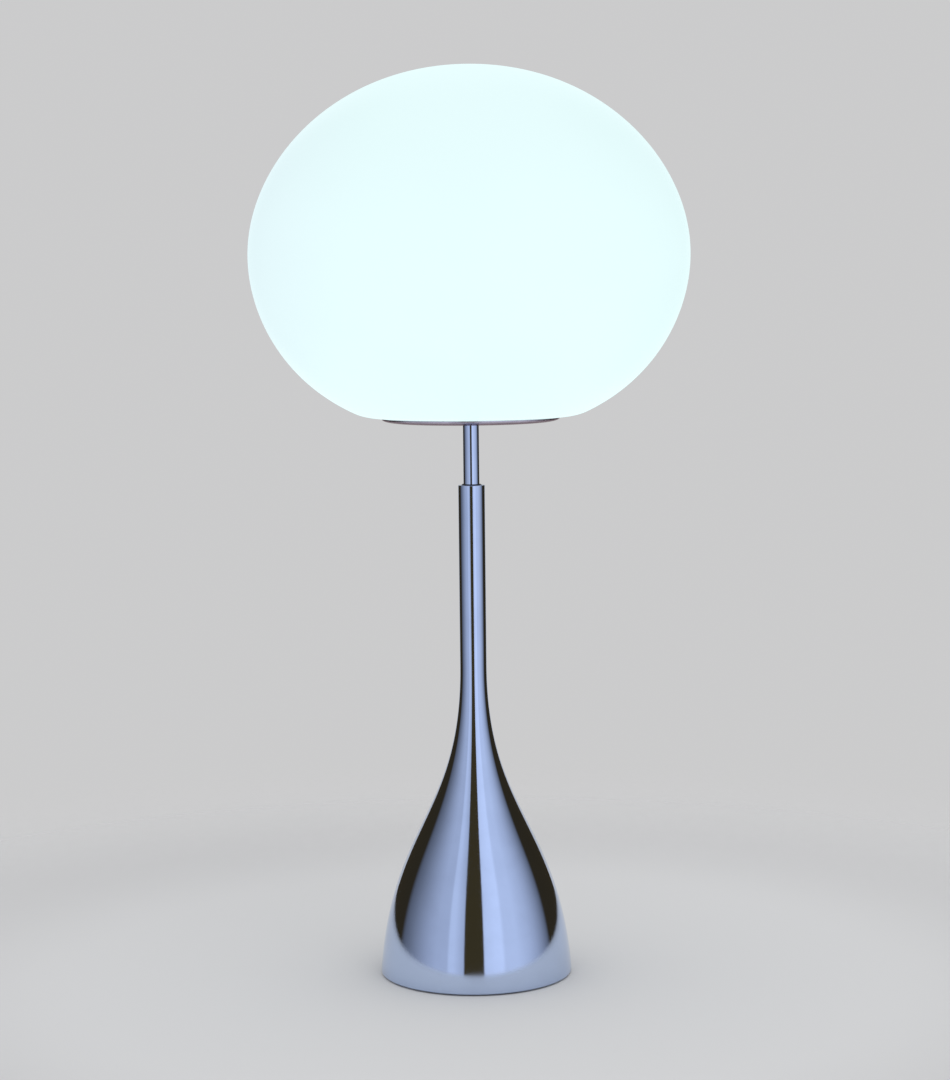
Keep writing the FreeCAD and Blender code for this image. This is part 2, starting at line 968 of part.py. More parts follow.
def make_phase_lead(name, pole, side, post):
    """A lead from its pole, up through the rod, to its post in the lampholder."""
    grip = size.block_front + size.pole_recess + size.lead_grip
    run_out = size.block_front - size.lead_run_out
    in_rod = side * size.lead_spread
    lead(name, [
        point(pole_right(pole), grip, size.pole_axis),
        point(pole_right(pole), run_out, size.pole_axis),
        point(in_rod, 0, size.pole_axis),
        point(in_rod, 0, size.rod_top + size.lead_fan_start),
        point(post, 0, size.rod_top + size.lead_fan_start + size.lead_fan_rise),
        point(post, 0, size.insert_bottom - size.post_drop + size.post_bore_depth - size.post_gap),
    ])


def make_earth_lead():
    """A short lead from the earth pole to the ring on the weight."""
    front = -size.earth_front
    barrel_height = size.earth_barrel_axis
    lead("earth_lead", [
        point(pole_right(1), size.block_front + size.pole_recess + size.lead_grip, size.pole_axis),
        point(pole_right(1), size.block_front / 2, size.pole_axis),
        point(pole_right(1), 0, (size.pole_axis + barrel_height) / 2),
        point(size.earth_lead_corner, front, barrel_height),
        point(size.earth_barrel_end - 2 * size.lead_radius, front, barrel_height),
    ])


def make_leads():
    """The two leads of the lampholder and the earth lead."""
    make_phase_lead("live_lead", 0, 1, size.live_post)
    make_phase_lead("neutral_lead", -1, -1, -size.neutral_post)
    make_earth_lead()


def make_earth_point():
    """Ring terminal under the weight, and the screw through it."""
    front = -size.earth_front
    ring_bottom = size.ballast_bottom - size.earth_ring_thickness
    centre = (size.earth_right, front, ring_bottom)
    ring = cylinder("earth_ring", size.earth_ring_radius, size.earth_ring_thickness, centre)
    barrel_at = (size.earth_barrel_start, front, size.earth_barrel_axis)
    barrel = cylinder(
        "earth_barrel",
        size.earth_barrel_radius,
        size.earth_barrel_length,
        barrel_at,
        RIGHTWARD,
    )
    tongue_length = size.earth_right - size.earth_barrel_end
    tongue = box(
        "earth_tongue",
        (tongue_length, 2 * size.earth_barrel_radius, size.earth_ring_thickness),
        (size.earth_barrel_end, front - size.earth_barrel_radius, ring_bottom),
    )
    solid = join("earth_terminal_solid", [ring, barrel, tongue])
    wire_hole = cylinder(
        "earth_barrel_bore",
        size.lead_radius + size.pole_gap,
        size.earth_barrel_length,
        barrel_at,
        RIGHTWARD,
    )
    screw_hole = cylinder(
        "earth_ring_hole",
        size.earth_screw_radius + size.thread_gap,
        size.earth_ring_thickness,
        centre,
    )
    keep("earth_ring_terminal", cut("earth_ring_terminal", solid, [wire_hole, screw_hole]))
    head_bottom = ring_bottom - size.earth_screw_head_height
    head = cylinder(
        "earth_screw_head_solid",
        size.earth_screw_head,
        size.earth_screw_head_height,
        (size.earth_right, front, head_bottom),
    )
    shank = cylinder(
        "earth_screw_shank",
        size.earth_screw_radius,
        size.earth_screw_head_height + size.earth_ring_thickness + size.earth_screw_depth,
        (size.earth_right, front, head_bottom),
    )
    keep("earth_screw", join("earth_screw", [head, shank]))


# Saucer, gasket and clips


def make_saucer():
    """The metal saucer: flat above with a low lip, its underside rounded up to the edge."""
    lip_top = size.saucer_floor + size.saucer_lip_height
    lip_inner = size.saucer_radius - size.saucer_lip_width
    bottom = size.tube_top
    disc = turned("saucer_disc", [
        (size.rod_hole, bottom),
        (size.saucer_flat, bottom),
        Curve(
            (size.saucer_flat + size.saucer_edge_run, bottom),
            (size.saucer_radius, lip_top - size.saucer_edge_rise),
            (size.saucer_radius, lip_top),
        ),
        (lip_inner, lip_top),
        (lip_inner, size.saucer_floor),
        (size.rod_hole, size.saucer_floor),
    ])
    holes = []
    for order, (right, back) in rivet_places():
        at = (right, back, bottom)
        bore = size.rivet_radius + size.rivet_gap
        holes.append(cylinder(f"saucer_rivet_hole_{order}", bore, size.saucer_thickness, at))
    keep("shade_plate", cut("shade_plate", disc, holes))


def make_gasket():
    """Silicone ring that the glass rests on."""
    keep("globe_gasket", turned("globe_gasket", [
        (size.gasket_inner, size.saucer_floor),
        (size.gasket_outer, size.saucer_floor),
        (size.gasket_outer, size.globe_seat),
        (size.gasket_inner, size.globe_seat),
    ]))


def rivet_places():
    """One rivet through the foot of each clip."""
    for order in range(CLIP_COUNT):
        yield order, around(size.rivet_circle, order * 360 / CLIP_COUNT)


def make_clips():
    """Bent leaf clips that stand just inside the mouth of the glass."""
    floor = size.saucer_floor
    sheet_metal = size.clip_thickness
    outer = size.globe_mouth - size.clip_clearance
    inner = outer - sheet_metal
    shoulder = floor + size.clip_shoulder
    straight_top = shoulder + size.clip_straight
    tip = straight_top + size.clip_tip_rise
    clips = strip("globe_clips_bent", [
        (size.clip_foot_radius, floor),
        (size.clip_heel_radius, floor),
        (outer, shoulder),
        (outer, straight_top),
        (outer - size.clip_tip_inset, tip),
        (inner - size.clip_tip_inset, tip),
        (inner, straight_top),
        (inner, shoulder),
        (size.clip_heel_radius - sheet_metal / 2, floor + sheet_metal),
        (size.clip_foot_radius, floor + sheet_metal),
    ], size.clip_width, CLIP_COUNT)
    holes = []
    for order, (right, back) in rivet_places():
        bore = size.rivet_radius + size.rivet_gap
        holes.append(cylinder(f"clip_hole_{order}", bore, sheet_metal, (right, back, floor)))
    keep("globe_clips", cut("globe_clips", clips, holes))


def make_rivets():
    """Rivets flush with the underside of the saucer."""
    rivets = []
    shank_length = size.saucer_thickness + size.clip_thickness + size.rivet_head_height
    for order, (right, back) in rivet_places():
        shank = cylinder(
            f"rivet_shank_{order}",
            size.rivet_radius,
            shank_length,
            (right, back, size.tube_top),
        )
        head = cylinder(
            f"rivet_head_{order}",
            size.rivet_head,
            size.rivet_head_height,
            (right, back, size.saucer_floor + size.clip_thickness),
        )
        rivets.append(join(f"rivet_{order}", [shank, head]))
    keep("clip_rivets", group("clip_rivets", rivets))


# Lampholder


def make_lampholder():
    """Cap on the rod, porcelain insert, outer body and screw shell."""
    bottom = size.holder_bottom
    radius = size.holder_radius
    bore = radius - size.holder_wall
    step = bore - size.holder_step_width
    rod = size.rod_radius + size.thread_gap
    slope_bottom = bottom + size.holder_hub_height
    slope_top = slope_bottom + size.holder_slope_height
    keep("lampholder_cap", turned("lampholder_cap", [
        (rod, bottom),
        (size.holder_hub_radius, bottom),
        (size.holder_hub_radius, slope_bottom),
        (radius, slope_top),
        (radius, size.holder_cap_top),
        (bore, size.holder_cap_top),
        (bore, size.insert_bottom),
        (step, size.insert_bottom),
        (step, slope_top + 2 * size.holder_wall),
        (rod, slope_bottom + 2 * size.holder_wall),
    ]))
    body_top = size.holder_cap_top + size.holder_body_height
    keep("lampholder_body", turned("lampholder_body", [
        (bore, size.holder_cap_top),
        (radius, size.holder_cap_top),
        (radius, body_top),
        (bore - size.holder_ledge, body_top),
        (bore - size.holder_ledge, size.insert_top),
        (bore, size.insert_top),
    ]))
    shell_outer = size.screw_shell_radius
    shell_inner = shell_outer - size.screw_shell_wall
    keep("lampholder_shell", turned("lampholder_shell", [
        (size.screw_shell_mouth, size.insert_top),
        (shell_outer, size.insert_top),
        (shell_outer, size.insert_top + size.screw_shell_height),
        (shell_inner, size.insert_top + size.screw_shell_height),
        (shell_inner, size.insert_top + size.screw_shell_wall),
        (size.screw_shell_mouth, size.insert_top + size.screw_shell_wall),
    ]))
    disc = cylinder(
        "insert_disc",
        bore - size.holder_fit,
        size.insert_thickness,
        (0, 0, size.insert_bottom),
    )
    post_holes, posts = [], []
    for name, right in (("live", size.live_post), ("neutral", -size.neutral_post)):
        hole_at = (right, 0, size.insert_bottom)
        bore_radius = size.post_radius + size.post_gap
        post_holes.append(cylinder(f"{name}_post_hole", bore_radius, size.insert_thickness, hole_at))
        post_bottom = (right, 0, size.insert_bottom - size.post_drop)
        post_length = size.post_drop + size.insert_thickness
        solid = cylinder(f"{name}_post_solid", size.post_radius, post_length, post_bottom)
        hollow = cylinder(f"{name}_post_bore", size.post_bore, size.post_bore_depth, post_bottom)
        posts.append(cut(f"{name}_post", solid, [hollow]))
    keep("lampholder_insert", cut("lampholder_insert", disc, post_holes))
    keep("lampholder_terminals", group("lampholder_terminals", posts))


def make_centre_contact():
    """Springy leaf from the live post up to the bulb's tip."""
    base = size.insert_top
    thick = size.contact_thickness
    tip = base + size.contact_rise
    keep("centre_contact", strip("centre_contact", [
        (size.contact_foot, base),
        (size.contact_reach, base),
        (size.contact_reach, base + thick),
        (size.contact_foot + thick, base + thick),
        (size.contact_tip, tip),
        (0, tip),
        (0, tip - thick),
        (size.contact_tip - thick, tip - thick),
    ], size.contact_width))


# Bulb


def bulb_curve(inset):
    """Side of the bulb, from its neck to its crown, moved inwards by a wall."""
    neck = size.bulb_cap_radius - size.bulb_cap_wall - size.bulb_glass_gap - inset
    side = size.bulb_radius - inset
    neck_top = size.bulb_cap_top + size.bulb_neck_above_cap
    crown = size.bulb_bottom + size.bulb_length - inset
    middle = size.bulb_bottom + size.bulb_length - size.bulb_radius
    return neck, neck_top, crown, [
        Curve((neck, neck_top + size.bulb_neck_pull), (side, middle - size.bulb_side_pull), (side, middle)),
        Curve(
            (side, middle + side * BEZIER_TO_CIRCLE),
            (side * BEZIER_TO_CIRCLE, crown),
            (0, crown),
        ),
    ]


def reversed_curves(start, curves):
    """The same stretch of outline drawn the other way."""
    ends = [start, *(curve.end for curve in curves)]
    pairs = list(zip(ends, curves))
    return [Curve(curve.pulls[1], curve.pulls[0], end) for end, curve in reversed(pairs)]


def make_bulb():
    """Envelope, screw cap, insulator, tip, glass mount, filaments and their frame."""
    wall = size.bulb_glass_wall
    neck_bottom = size.bulb_cap_top - size.bulb_neck_depth
    neck, neck_top, _, outer = bulb_curve(0)
    inner_neck, _, inner_crown, inner = bulb_curve(wall)
    keep("bulb_envelope", turned("bulb_envelope", [
        (inner_neck, neck_bottom),
        (neck, neck_bottom),
        (neck, neck_top),
        *outer,
        (0, inner_crown),
        *reversed_curves((inner_neck, neck_top), inner),
    ]))
    radius = size.bulb_cap_radius
    cap_wall = size.bulb_cap_wall
    bottom = size.bulb_cap_bottom
    keep("bulb_cap", turned("bulb_cap", [
        (0, bottom),
        (radius, bottom),
        (radius, size.bulb_cap_top),
        (radius - cap_wall, size.bulb_cap_top),
        (radius - cap_wall, bottom + cap_wall),
        (0, bottom + cap_wall),
    ]))
    tip_radius = size.bulb_tip_radius
    keep("bulb_insulator", turned("bulb_insulator", [
        (0, size.insulator_bottom),
        (tip_radius, size.insulator_bottom),
        (size.insulator_radius, bottom - size.insulator_rim),
        (size.insulator_radius, bottom),
        (0, bottom),
    ]))
    keep("bulb_tip_contact", cylinder(
        "bulb_tip_contact",
        tip_radius,
        size.bulb_tip_height,
        (0, 0, size.bulb_bottom),
    ))
    floor = bottom + cap_wall
    keep("bulb_glass_mount", cylinder(
        "bulb_glass_mount",
        size.bulb_mount_radius,
        size.mount_top - floor,
        (0, 0, floor),
    ))
    make_filaments()


def make_filaments():
    """Upright filament rods between two thin carrier discs on the glass mount."""
    lower = size.mount_top
    wire = size.frame_wire
    rods = []
    for order in range(FILAMENT_COUNT):
        right, back = around(size.filament_circle, order * 360 / FILAMENT_COUNT)
        at = (right, back, lower + wire)
        rods.append(cylinder(f"filament_{order}", size.filament_radius, size.filament_length, at))
    keep("bulb_filaments", group("bulb_filaments", rods))
    upper = lower + wire + size.filament_length
    low_disc = cylinder("frame_low_disc", size.frame_disc, wire, (0, 0, lower))
    high_disc = cylinder("frame_high_disc", size.frame_disc, wire, (0, 0, upper))
    pillar = cylinder("frame_pillar", wire, size.filament_length + 2 * wire, (0, 0, lower))
    keep("bulb_filament_frame", join("bulb_filament_frame", [low_disc, high_disc, pillar]))


# Glass globe


def globe_curves(wall):
    """The globe's side from its flat bottom to its crown, moved inwards by a wall."""
    radius = size.globe_radius - wall
    seat = size.globe_seat + wall
    equator = size.globe_seat + size.globe_equator
    crown = equator + size.globe_crown - wall
    along = (cosine(size.heel_angle), sine(size.heel_angle))
    heel = (
        size.heel_radius - wall * along[1],
        size.globe_seat + size.heel_rise + wall * along[0],
    )
    heel_low = (heel[0] - size.heel_inner_pull * along[0], heel[1] - size.heel_inner_pull * along[1])
    heel_high = (heel[0] + size.heel_outer_pull * along[0], heel[1] + size.heel_outer_pull * along[1])
    return [
        Curve((size.globe_flat + size.flat_pull, seat), heel_low, heel),
        Curve(heel_high, (radius, equator - size.waist_pull), (radius, equator)),
        Curve((radius, equator + size.shoulder_pull - wall), (size.crown_pull - wall, crown), (0, crown)),
    ]


def make_globe():
    """Blown opal glass, flattened below, with a round mouth in its flat bottom."""
    wall = size.globe_wall
    seat = size.globe_seat
    inner_crown = seat + size.globe_equator + size.globe_crown - wall
    outer = globe_curves(as_size(0))
    inner = globe_curves(wall)
    keep("glass_globe", turned("glass_globe", [
        (size.globe_mouth, seat),
        (size.globe_flat, seat),
        *outer,
        (0, inner_crown),
        *reversed_curves((size.globe_flat, seat + wall), inner),
        (size.globe_mouth, seat + wall),
    ]))


# Building, checking and writing


def check_and_write():
    """Recompute, refuse a failed or empty shape, and write one file for each piece."""
    doc.recompute()
    for thing in doc.Objects:
        if "Invalid" in thing.State or "Error" in thing.State:
            raise RuntimeError(f"{thing.Name} failed: {thing.State}")
    for name, thing in pieces.items():
        if thing.Shape.isNull() or not thing.Shape.isValid():
            raise RuntimeError(f"{name} has no valid shape")
        if not thing.Shape.Solids:
            raise RuntimeError(f"{name} holds no solid")
    os.makedirs("parts", exist_ok=True)
    for name, thing in pieces.items():
        thing.Shape.exportStep(f"parts/{name}.step")
        shape = thing.Shape
        low, high = shape.BoundBox.ZMin, shape.BoundBox.ZMax
        print(f"{name}: {len(shape.Solids)} solid(s), {shape.Volume:.0f} mm3, z {low:.1f} to {high:.1f}")


make_base_shell()
make_neck_bush()
make_upper_tube()
make_threaded_rod()
make_ballast()
make_washer("ballast_washer", size.washer_seat - size.rod_washer_thickness)
make_nut("ballast_nut", size.washer_seat - size.rod_washer_thickness - size.rod_nut_height)
make_base_plate()
make_base_plate_screws()
make_felt_pad()
make_inlet()
make_terminal_block()
make_leads()
make_earth_point()
make_saucer()
make_washer("plate_washer", size.saucer_floor)
make_nut("plate_nut", size.saucer_floor + size.rod_washer_thickness)
make_gasket()
make_clips()
make_rivets()
make_lampholder()
make_centre_contact()
make_bulb()
make_globe()
check_and_write()
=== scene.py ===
"""Looks of the glass globe table lamp, built around its packed frame, with the studio it stands in."""

import math

import bpy
import numpy as np
from bpy.props import FloatProperty, FloatVectorProperty, IntProperty, PointerProperty
from bpy.types import Operator, Panel, PropertyGroup
from mathutils import Matrix, Vector


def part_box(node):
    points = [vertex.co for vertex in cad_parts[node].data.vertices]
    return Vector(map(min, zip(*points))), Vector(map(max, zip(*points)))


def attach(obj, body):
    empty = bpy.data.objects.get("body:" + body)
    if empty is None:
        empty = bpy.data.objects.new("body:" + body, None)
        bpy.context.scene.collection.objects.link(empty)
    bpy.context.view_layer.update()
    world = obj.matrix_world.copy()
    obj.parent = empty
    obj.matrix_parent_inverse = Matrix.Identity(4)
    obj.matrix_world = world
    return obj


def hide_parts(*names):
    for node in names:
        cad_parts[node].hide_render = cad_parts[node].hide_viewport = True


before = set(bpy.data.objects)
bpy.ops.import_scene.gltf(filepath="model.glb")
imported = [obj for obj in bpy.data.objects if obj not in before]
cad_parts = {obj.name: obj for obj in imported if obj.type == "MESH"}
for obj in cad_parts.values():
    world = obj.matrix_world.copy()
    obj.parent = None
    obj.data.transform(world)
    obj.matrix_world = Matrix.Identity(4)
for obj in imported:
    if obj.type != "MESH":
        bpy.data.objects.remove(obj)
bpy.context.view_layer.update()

bl_info = {
    "name": "Glass Globe Table Lamp",
    "version": (1, 0, 0),
    "blender": (4, 5, 0),
    "location": "3D View > Sidebar > Lamp",
    "description": "Turned metal, opal glass, lampholder, bulb and studio for the packed table lamp",
    "category": "Object",
}

SLOT_OF = {name: made.data.materials[0].name for name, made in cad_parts.items()}


def low(node, axis=2):
    """Lowest place of a node along an axis."""
    return float(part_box(node)[0][axis])


def high(node, axis=2):
    """Highest place of a node along an axis."""
    return float(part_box(node)[1][axis])


# Sizes and colours


def length(name, description, default):
    """A length that a user may change, in metres."""
    return FloatProperty(
        name=name, description=description, default=default, unit="LENGTH", subtype="DISTANCE", precision=5
    )


def colour(name, description, default):
    """A linear colour that a user may change."""
    return FloatVectorProperty(
        name=name, description=description, default=default, size=3, subtype="COLOR", min=0.0, max=2.0
    )


class LampFoot(PropertyGroup):
    """Neck and trumpet foot."""

    radius: length("Foot radius", "Widest radius of the foot", high("base_shell", 0))
    rim_lift: length("Rim lift", "Gap between table and rim", low("base_shell"))
    rim_corner: length("Rim corner", "Rounding of the rim", 0.0024)
    wall: length("Wall", "Thickness of the spun metal", 0.003)
    neck_radius: length("Neck radius", "Radius of the straight neck", 0.010)
    neck_top: length("Neck top", "Height of the neck's mouth", high("base_shell"))
    flare_top: length("Flare top", "Height where the trumpet meets the neck", 0.2335)
    upper_pull: length("Upper pull", "How far the neck's direction carries down", 0.1124)
    lower_pull: length("Lower pull", "How far the rim's direction carries up", 0.1134)
    lean: length("Lean", "How far the lower pull leans inwards", 0.0098)
    mouth: length("Mouth", "Radius of the seat for the bush", 0.00805)
    inlet: length("Inlet height", "Height of the cord inlet", 0.014)
    inlet_bore: length("Inlet bore", "Inner radius of the cord bush", 0.0035)
    inlet_barrel: length("Inlet barrel", "Outer radius of the cord bush in the wall", 0.0055)
    inlet_hole: length("Inlet hole", "Radius of the hole through the wall", 0.0056)
    flange_radius: length("Flange radius", "Radius of the cord bush's flange", 0.0075)
    flange: length("Flange", "Thickness of that flange", 0.0015)
    sections: IntProperty(name="Sections", description="Facets round the foot", default=288, min=48)


class LampStem(PropertyGroup):
    """Thin tube, saucer, gasket and rivets."""

    tube_radius: length("Tube radius", "Radius of the thin tube", high("upper_tube", 0))
    tube_bore: length("Tube bore", "Inner radius of the thin tube", 0.0052)
    rod_hole: length("Rod hole", "Radius of the hole for the rod", 0.0052)
    saucer_radius: length("Saucer radius", "Outer radius of the saucer", high("shade_plate", 0))
    saucer_flat: length("Saucer flat", "Radius of its flat underside", 0.042)
    saucer_floor: length("Saucer floor", "Height of its upper face", low("globe_gasket"))
    lip_width: length("Lip width", "Width of the raised edge", 0.0014)
    edge_run: length("Edge run", "How far the flat's direction carries out", 0.019)
    edge_rise: length("Edge rise", "How far the edge's direction carries down", 0.0019)
    gasket_width: length("Gasket width", "Width of the silicone ring", 0.008)
    rivet_circle: length("Rivet circle", "Radius on which the rivets lie", 0.0405)
    rivet_head: length("Rivet head", "Radius of a rivet's head", 0.003)
    rivet_shank: length("Rivet shank", "Radius of a rivet's shank", 0.0015)
    rivet_dome: length("Rivet dome", "Height of a rivet's head", 0.0008)


class LampGlobe(PropertyGroup):
    """Opal glass globe."""

    radius: length("Globe radius", "Widest radius of the glass", high("glass_globe", 0))
    wall: length("Wall", "Thickness of the glass", 0.0025)
    mouth: length("Mouth", "Radius of the hole in the bottom", 0.055)
    flat: length("Flat", "Radius of the flat that stands on the gasket", 0.058)
    seat: length("Seat", "Height of that flat", low("glass_globe"))
    equator: length("Equator", "Height of the widest place above the seat", 0.1197)
    crown: length("Crown", "Height of the top above the widest place", 0.1387)
    crown_pull: length("Crown pull", "Flatness of the top", 0.0989)
    shoulder_pull: length("Shoulder pull", "Fullness above the widest place", 0.0669)
    waist_pull: length("Waist pull", "Fullness below the widest place", 0.0428)
    heel_radius: length("Heel radius", "Radius where the bottom turns up", 0.0863)
    heel_rise: length("Heel rise", "Height of the heel above the seat", 0.00415)
    heel_angle: FloatProperty(
        name="Heel angle", description="Slope at the heel", default=math.radians(25.0), subtype="ANGLE"
    )
    heel_out: length("Heel outer pull", "How far the heel's slope carries out", 0.0575)
    heel_in: length("Heel inner pull", "How far the heel's slope carries in", 0.008)
    flat_pull: length("Flat pull", "How far the flat carries out", 0.012)


class LampHolder(PropertyGroup):
    """Lampholder under the bulb."""

    radius: length("Holder radius", "Outer radius of the lampholder", high("lampholder_body", 0))
    rod_hole: length("Rod hole", "Radius of the hole for the rod", 0.00505)
    hub: length("Hub radius", "Radius of its hub on the rod", 0.009)
    hub_height: length("Hub height", "Height of the hub", 0.004)
    slope: length("Slope", "Height of the shoulder", 0.005)
    wall: length("Wall", "Thickness of the moulding", 0.0018)
    flute: length("Flute depth", "Depth of the grip flutes", 0.0004)
    flutes: IntProperty(name="Flutes", description="Grip flutes round the body", default=40, min=8)


class LampBulb(PropertyGroup):
    """Bulb in the globe."""

    radius: length("Bulb radius", "Widest radius of the bulb", high("bulb_envelope", 0))
    crown: length("Crown", "Top of the bulb", high("bulb_envelope"))
    wall: length("Glass wall", "Thickness of its glass", 0.0008)
    neck: length("Neck radius", "Radius of the glass in its cap", 0.0124)
    neck_pull: length("Neck pull", "How far the neck's direction carries up", 0.016)
    side_pull: length("Side pull", "How far the side's direction carries down", 0.024)
    cap_radius: length("Cap radius", "Outer radius of the screw cap", high("bulb_cap", 0))
    thread_depth: length("Thread depth", "Depth of the rolled thread", 0.0005)
    pitch: length("Pitch", "Rise of one turn of the thread", 0.0036)
    filament: length("Filament radius", "Radius of a filament rod", 0.0009)


class LampColours(PropertyGroup):
    """Colours of the finishes."""

    chrome: colour("Chrome", "Polished plating of foot, neck and tube", (0.52, 0.62, 0.83))
    # Partly painted reflection: the mauve in this satin metal colour stands in for a reddish surrounding that
    # the metal reflects.
    saucer: colour("Saucer", "Satin metal of the saucer", (0.58, 0.53, 0.63))
    opal: colour("Opal glass", "Glass of the globe", (0.17, 0.19, 0.19))
    glow: colour("Glow", "Light that the globe gives", (0.61, 0.775, 0.78))
    felt: colour("Felt", "Pad under the foot", (0.055, 0.06, 0.055))
    moulding: colour("Moulding", "Black moulding of the lampholder", (0.028, 0.027, 0.026))
    warm: colour("Filament glow", "Light of the filament rods", (1.0, 0.82, 0.5))


class LampStudio(PropertyGroup):
    """Camera, floor and light."""

    distance: length("Camera distance", "From the camera to the lamp's axis", 1.8)
    height: length("Camera height", "Height of the camera", 0.490)
    aim: length("Aim", "Height at the middle of the picture", 0.3278)
    aim_side: length("Aim sideways", "How far right of the axis the camera aims", 0.0022)
    lens: FloatProperty(name="Lens", description="Focal length in millimetres", default=80.7)
    roll: FloatProperty(
        name="Roll", description="How far the picture leans", default=math.radians(0.60), subtype="ANGLE"
    )
    backdrop: colour("Backdrop", "Pale background", (0.60, 0.60, 0.605))
    floor: colour("Floor", "Pale floor", (0.63, 0.63, 0.635))
    level: FloatProperty(name="Level", description="Strength of the even light", default=0.96, min=0.0)
    key: FloatProperty(name="Key", description="Power of the soft overhead lamp", default=6.0, min=0.0)
    tent: FloatProperty(name="Tent", description="Strength of the white tent walls", default=1.0, min=0.0)


GROUPS = {
    "lamp_foot": LampFoot,
    "lamp_stem": LampStem,
    "lamp_globe": LampGlobe,
    "lamp_holder": LampHolder,
    "lamp_bulb": LampBulb,
    "lamp_colours": LampColours,
    "lamp_studio": LampStudio,
}


# Surfaces


def bezier(start, first, second, end, count):
    """Cubic curve: start, two pulls and end, weighted by the four Bernstein terms of one parameter."""
    t = np.linspace(0.0, 1.0, count)[:, None]
    start, first, second, end = (np.asarray(p, float) for p in (start, first, second, end))
    return (1 - t) ** 3 * start + 3 * (1 - t) ** 2 * t * first + 3 * (1 - t) * t**2 * second + t**3 * end


def rounding(before, at, after, radius, steps=8, hold=0.0003):
    """Corner as an arc that touches both sides: the start and end radii weighted by sines of the swept angle.
    A point a little way along each side keeps the shading of that side flat."""
    back, ahead = before - at, after - at
    back_run, ahead_run = np.linalg.norm(back), np.linalg.norm(ahead)
    back, ahead = back / back_run, ahead / ahead_run
    half = math.acos(float(np.clip(back @ ahead, -0.9999, 0.9999))) / 2
    reach = min(radius / math.tan(half), 0.4 * back_run, 0.4 * ahead_run)
    radius = reach * math.tan(half)
    bisector = (back + ahead) / np.linalg.norm(back + ahead)
    centre = at + bisector * radius / math.sin(half)
    start, end = at + back * reach, at + ahead * reach
    sweep = math.pi - 2 * half
    t = np.linspace(0.0, 1.0, steps)[:, None]
    turned = np.sin((1 - t) * sweep) * (start - centre) + np.sin(t * sweep) * (end - centre)
    arc = centre + turned / math.sin(sweep)
    entry = start + back * min(hold, 0.3 * (back_run - reach))
    leave = end + ahead * min(hold, 0.3 * (ahead_run - reach))
    return np.vstack([entry, arc, leave])


def outline(*steps):
    """Outline in radius and height: corners given with their rounding, and curves as rows of points."""
    places = [step if isinstance(step, np.ndarray) else np.array([step[:2]], float) for step in steps]
    rows = []
    for order, step in enumerate(steps):
        if isinstance(step, np.ndarray):
            rows.append(step)
        elif len(step) == 2:
            rows.append(places[order])
        else:
            before, after = places[order - 1][-1], places[(order + 1) % len(steps)][0]
            rows.append(rounding(before, places[order][0], after, step[2]))
    return np.vstack(rows)


def swept(profile, sections, relief=0.0, centre=(0.0, 0.0)):
    """Surface of revolution: radius less a relief, times cosine and sine of the angle, and height."""
    angle = np.linspace(0.0, 2 * math.pi, sections, endpoint=False)
    radius = profile[:, :1] - relief
    across = radius * np.cos(angle) + centre[0]
    back = radius * np.sin(angle) + centre[1]
    return np.stack([across, back, np.broadcast_to(profile[:, 1:], across.shape)], axis=-1)


def quads_between(rows, columns, closed=False):
    """Faces between the rows of a grid whose columns close, and from the last row to the first if closed."""
    row = np.arange(rows if closed else rows - 1)[:, None]
    upper = (row + 1) % rows
    column = np.arange(columns)
    following = (column + 1) % columns
    return np.stack([row * columns + column, row * columns + following,
                     upper * columns + following, upper * columns + column], axis=-1).reshape(-1, 4)


def fading(height, start, rise, end, fall):
    """Goes straight from 0 to 1 over a rise after the start, and back to 0 over a fall before the end."""
    return np.clip((height - start) / rise, 0, 1) * np.clip((end - height) / fall, 0, 1)


def skin(grid):
    """Points and faces of a grid whose columns close. Rows close too, unless both ends are poles."""
    rows, columns = grid.shape[:2]
    poles = bool(np.allclose(grid[0], grid[0, :1]) and np.allclose(grid[-1], grid[-1, :1]))
    if not poles:
        return grid.reshape(-1, 3), quads_between(rows, columns, closed=True), np.zeros((0, 3), int)
    points = np.vstack([grid[0, :1], grid[1:-1].reshape(-1, 3), grid[-1, :1]])
    quads = 1 + quads_between(rows - 2, columns)
    column = np.arange(columns)
    following = (column + 1) % columns
    last = len(points) - 1
    ring = 1 + (rows - 3) * columns
    first_fan = np.stack([np.zeros_like(column), 1 + following, 1 + column], axis=-1)
    last_fan = np.stack([ring + column, ring + following, np.full_like(column, last)], axis=-1)
    return points, quads, np.vstack([first_fan, last_fan])


def mesh_of(name, *grids):
    """One smooth mesh of closed grids, each with its faces outwards: its enclosed volume is positive."""
    points, faces, offset = [], [], 0
    for grid in grids:
        vertices, quads, triangles = skin(grid)
        corners = vertices[np.vstack([quads[:, :3], quads[:, [0, 2, 3]], triangles])]
        volume = np.einsum("ij,ij->", corners[:, 0], np.cross(corners[:, 1], corners[:, 2]))
        turn = slice(None, None, -1 if volume < 0 else 1)
        faces += (quads[:, turn] + offset).tolist() + (triangles[:, turn] + offset).tolist()
        points.append(vertices)
        offset += len(vertices)
    mesh = bpy.data.meshes.new(name)
    mesh.from_pydata(np.vstack(points).tolist(), [], faces)
    mesh.shade_smooth()
    mesh.update()
    return mesh


def placed(name, data):
    """New object in the scene for a mesh, lamp or camera."""
    made = bpy.data.objects.new(name, data)
    bpy.context.scene.collection.objects.link(made)
    return made


def settle(mesh, body, slot, *nodes):
    """Put a mesh in the scene with the finish of its slot, on its body and in the place of its nodes."""
    mesh.materials.append(FINISHES[slot])
    piece = placed(mesh.name, mesh)
    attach(piece, body)
    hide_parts(*nodes)
    return piece


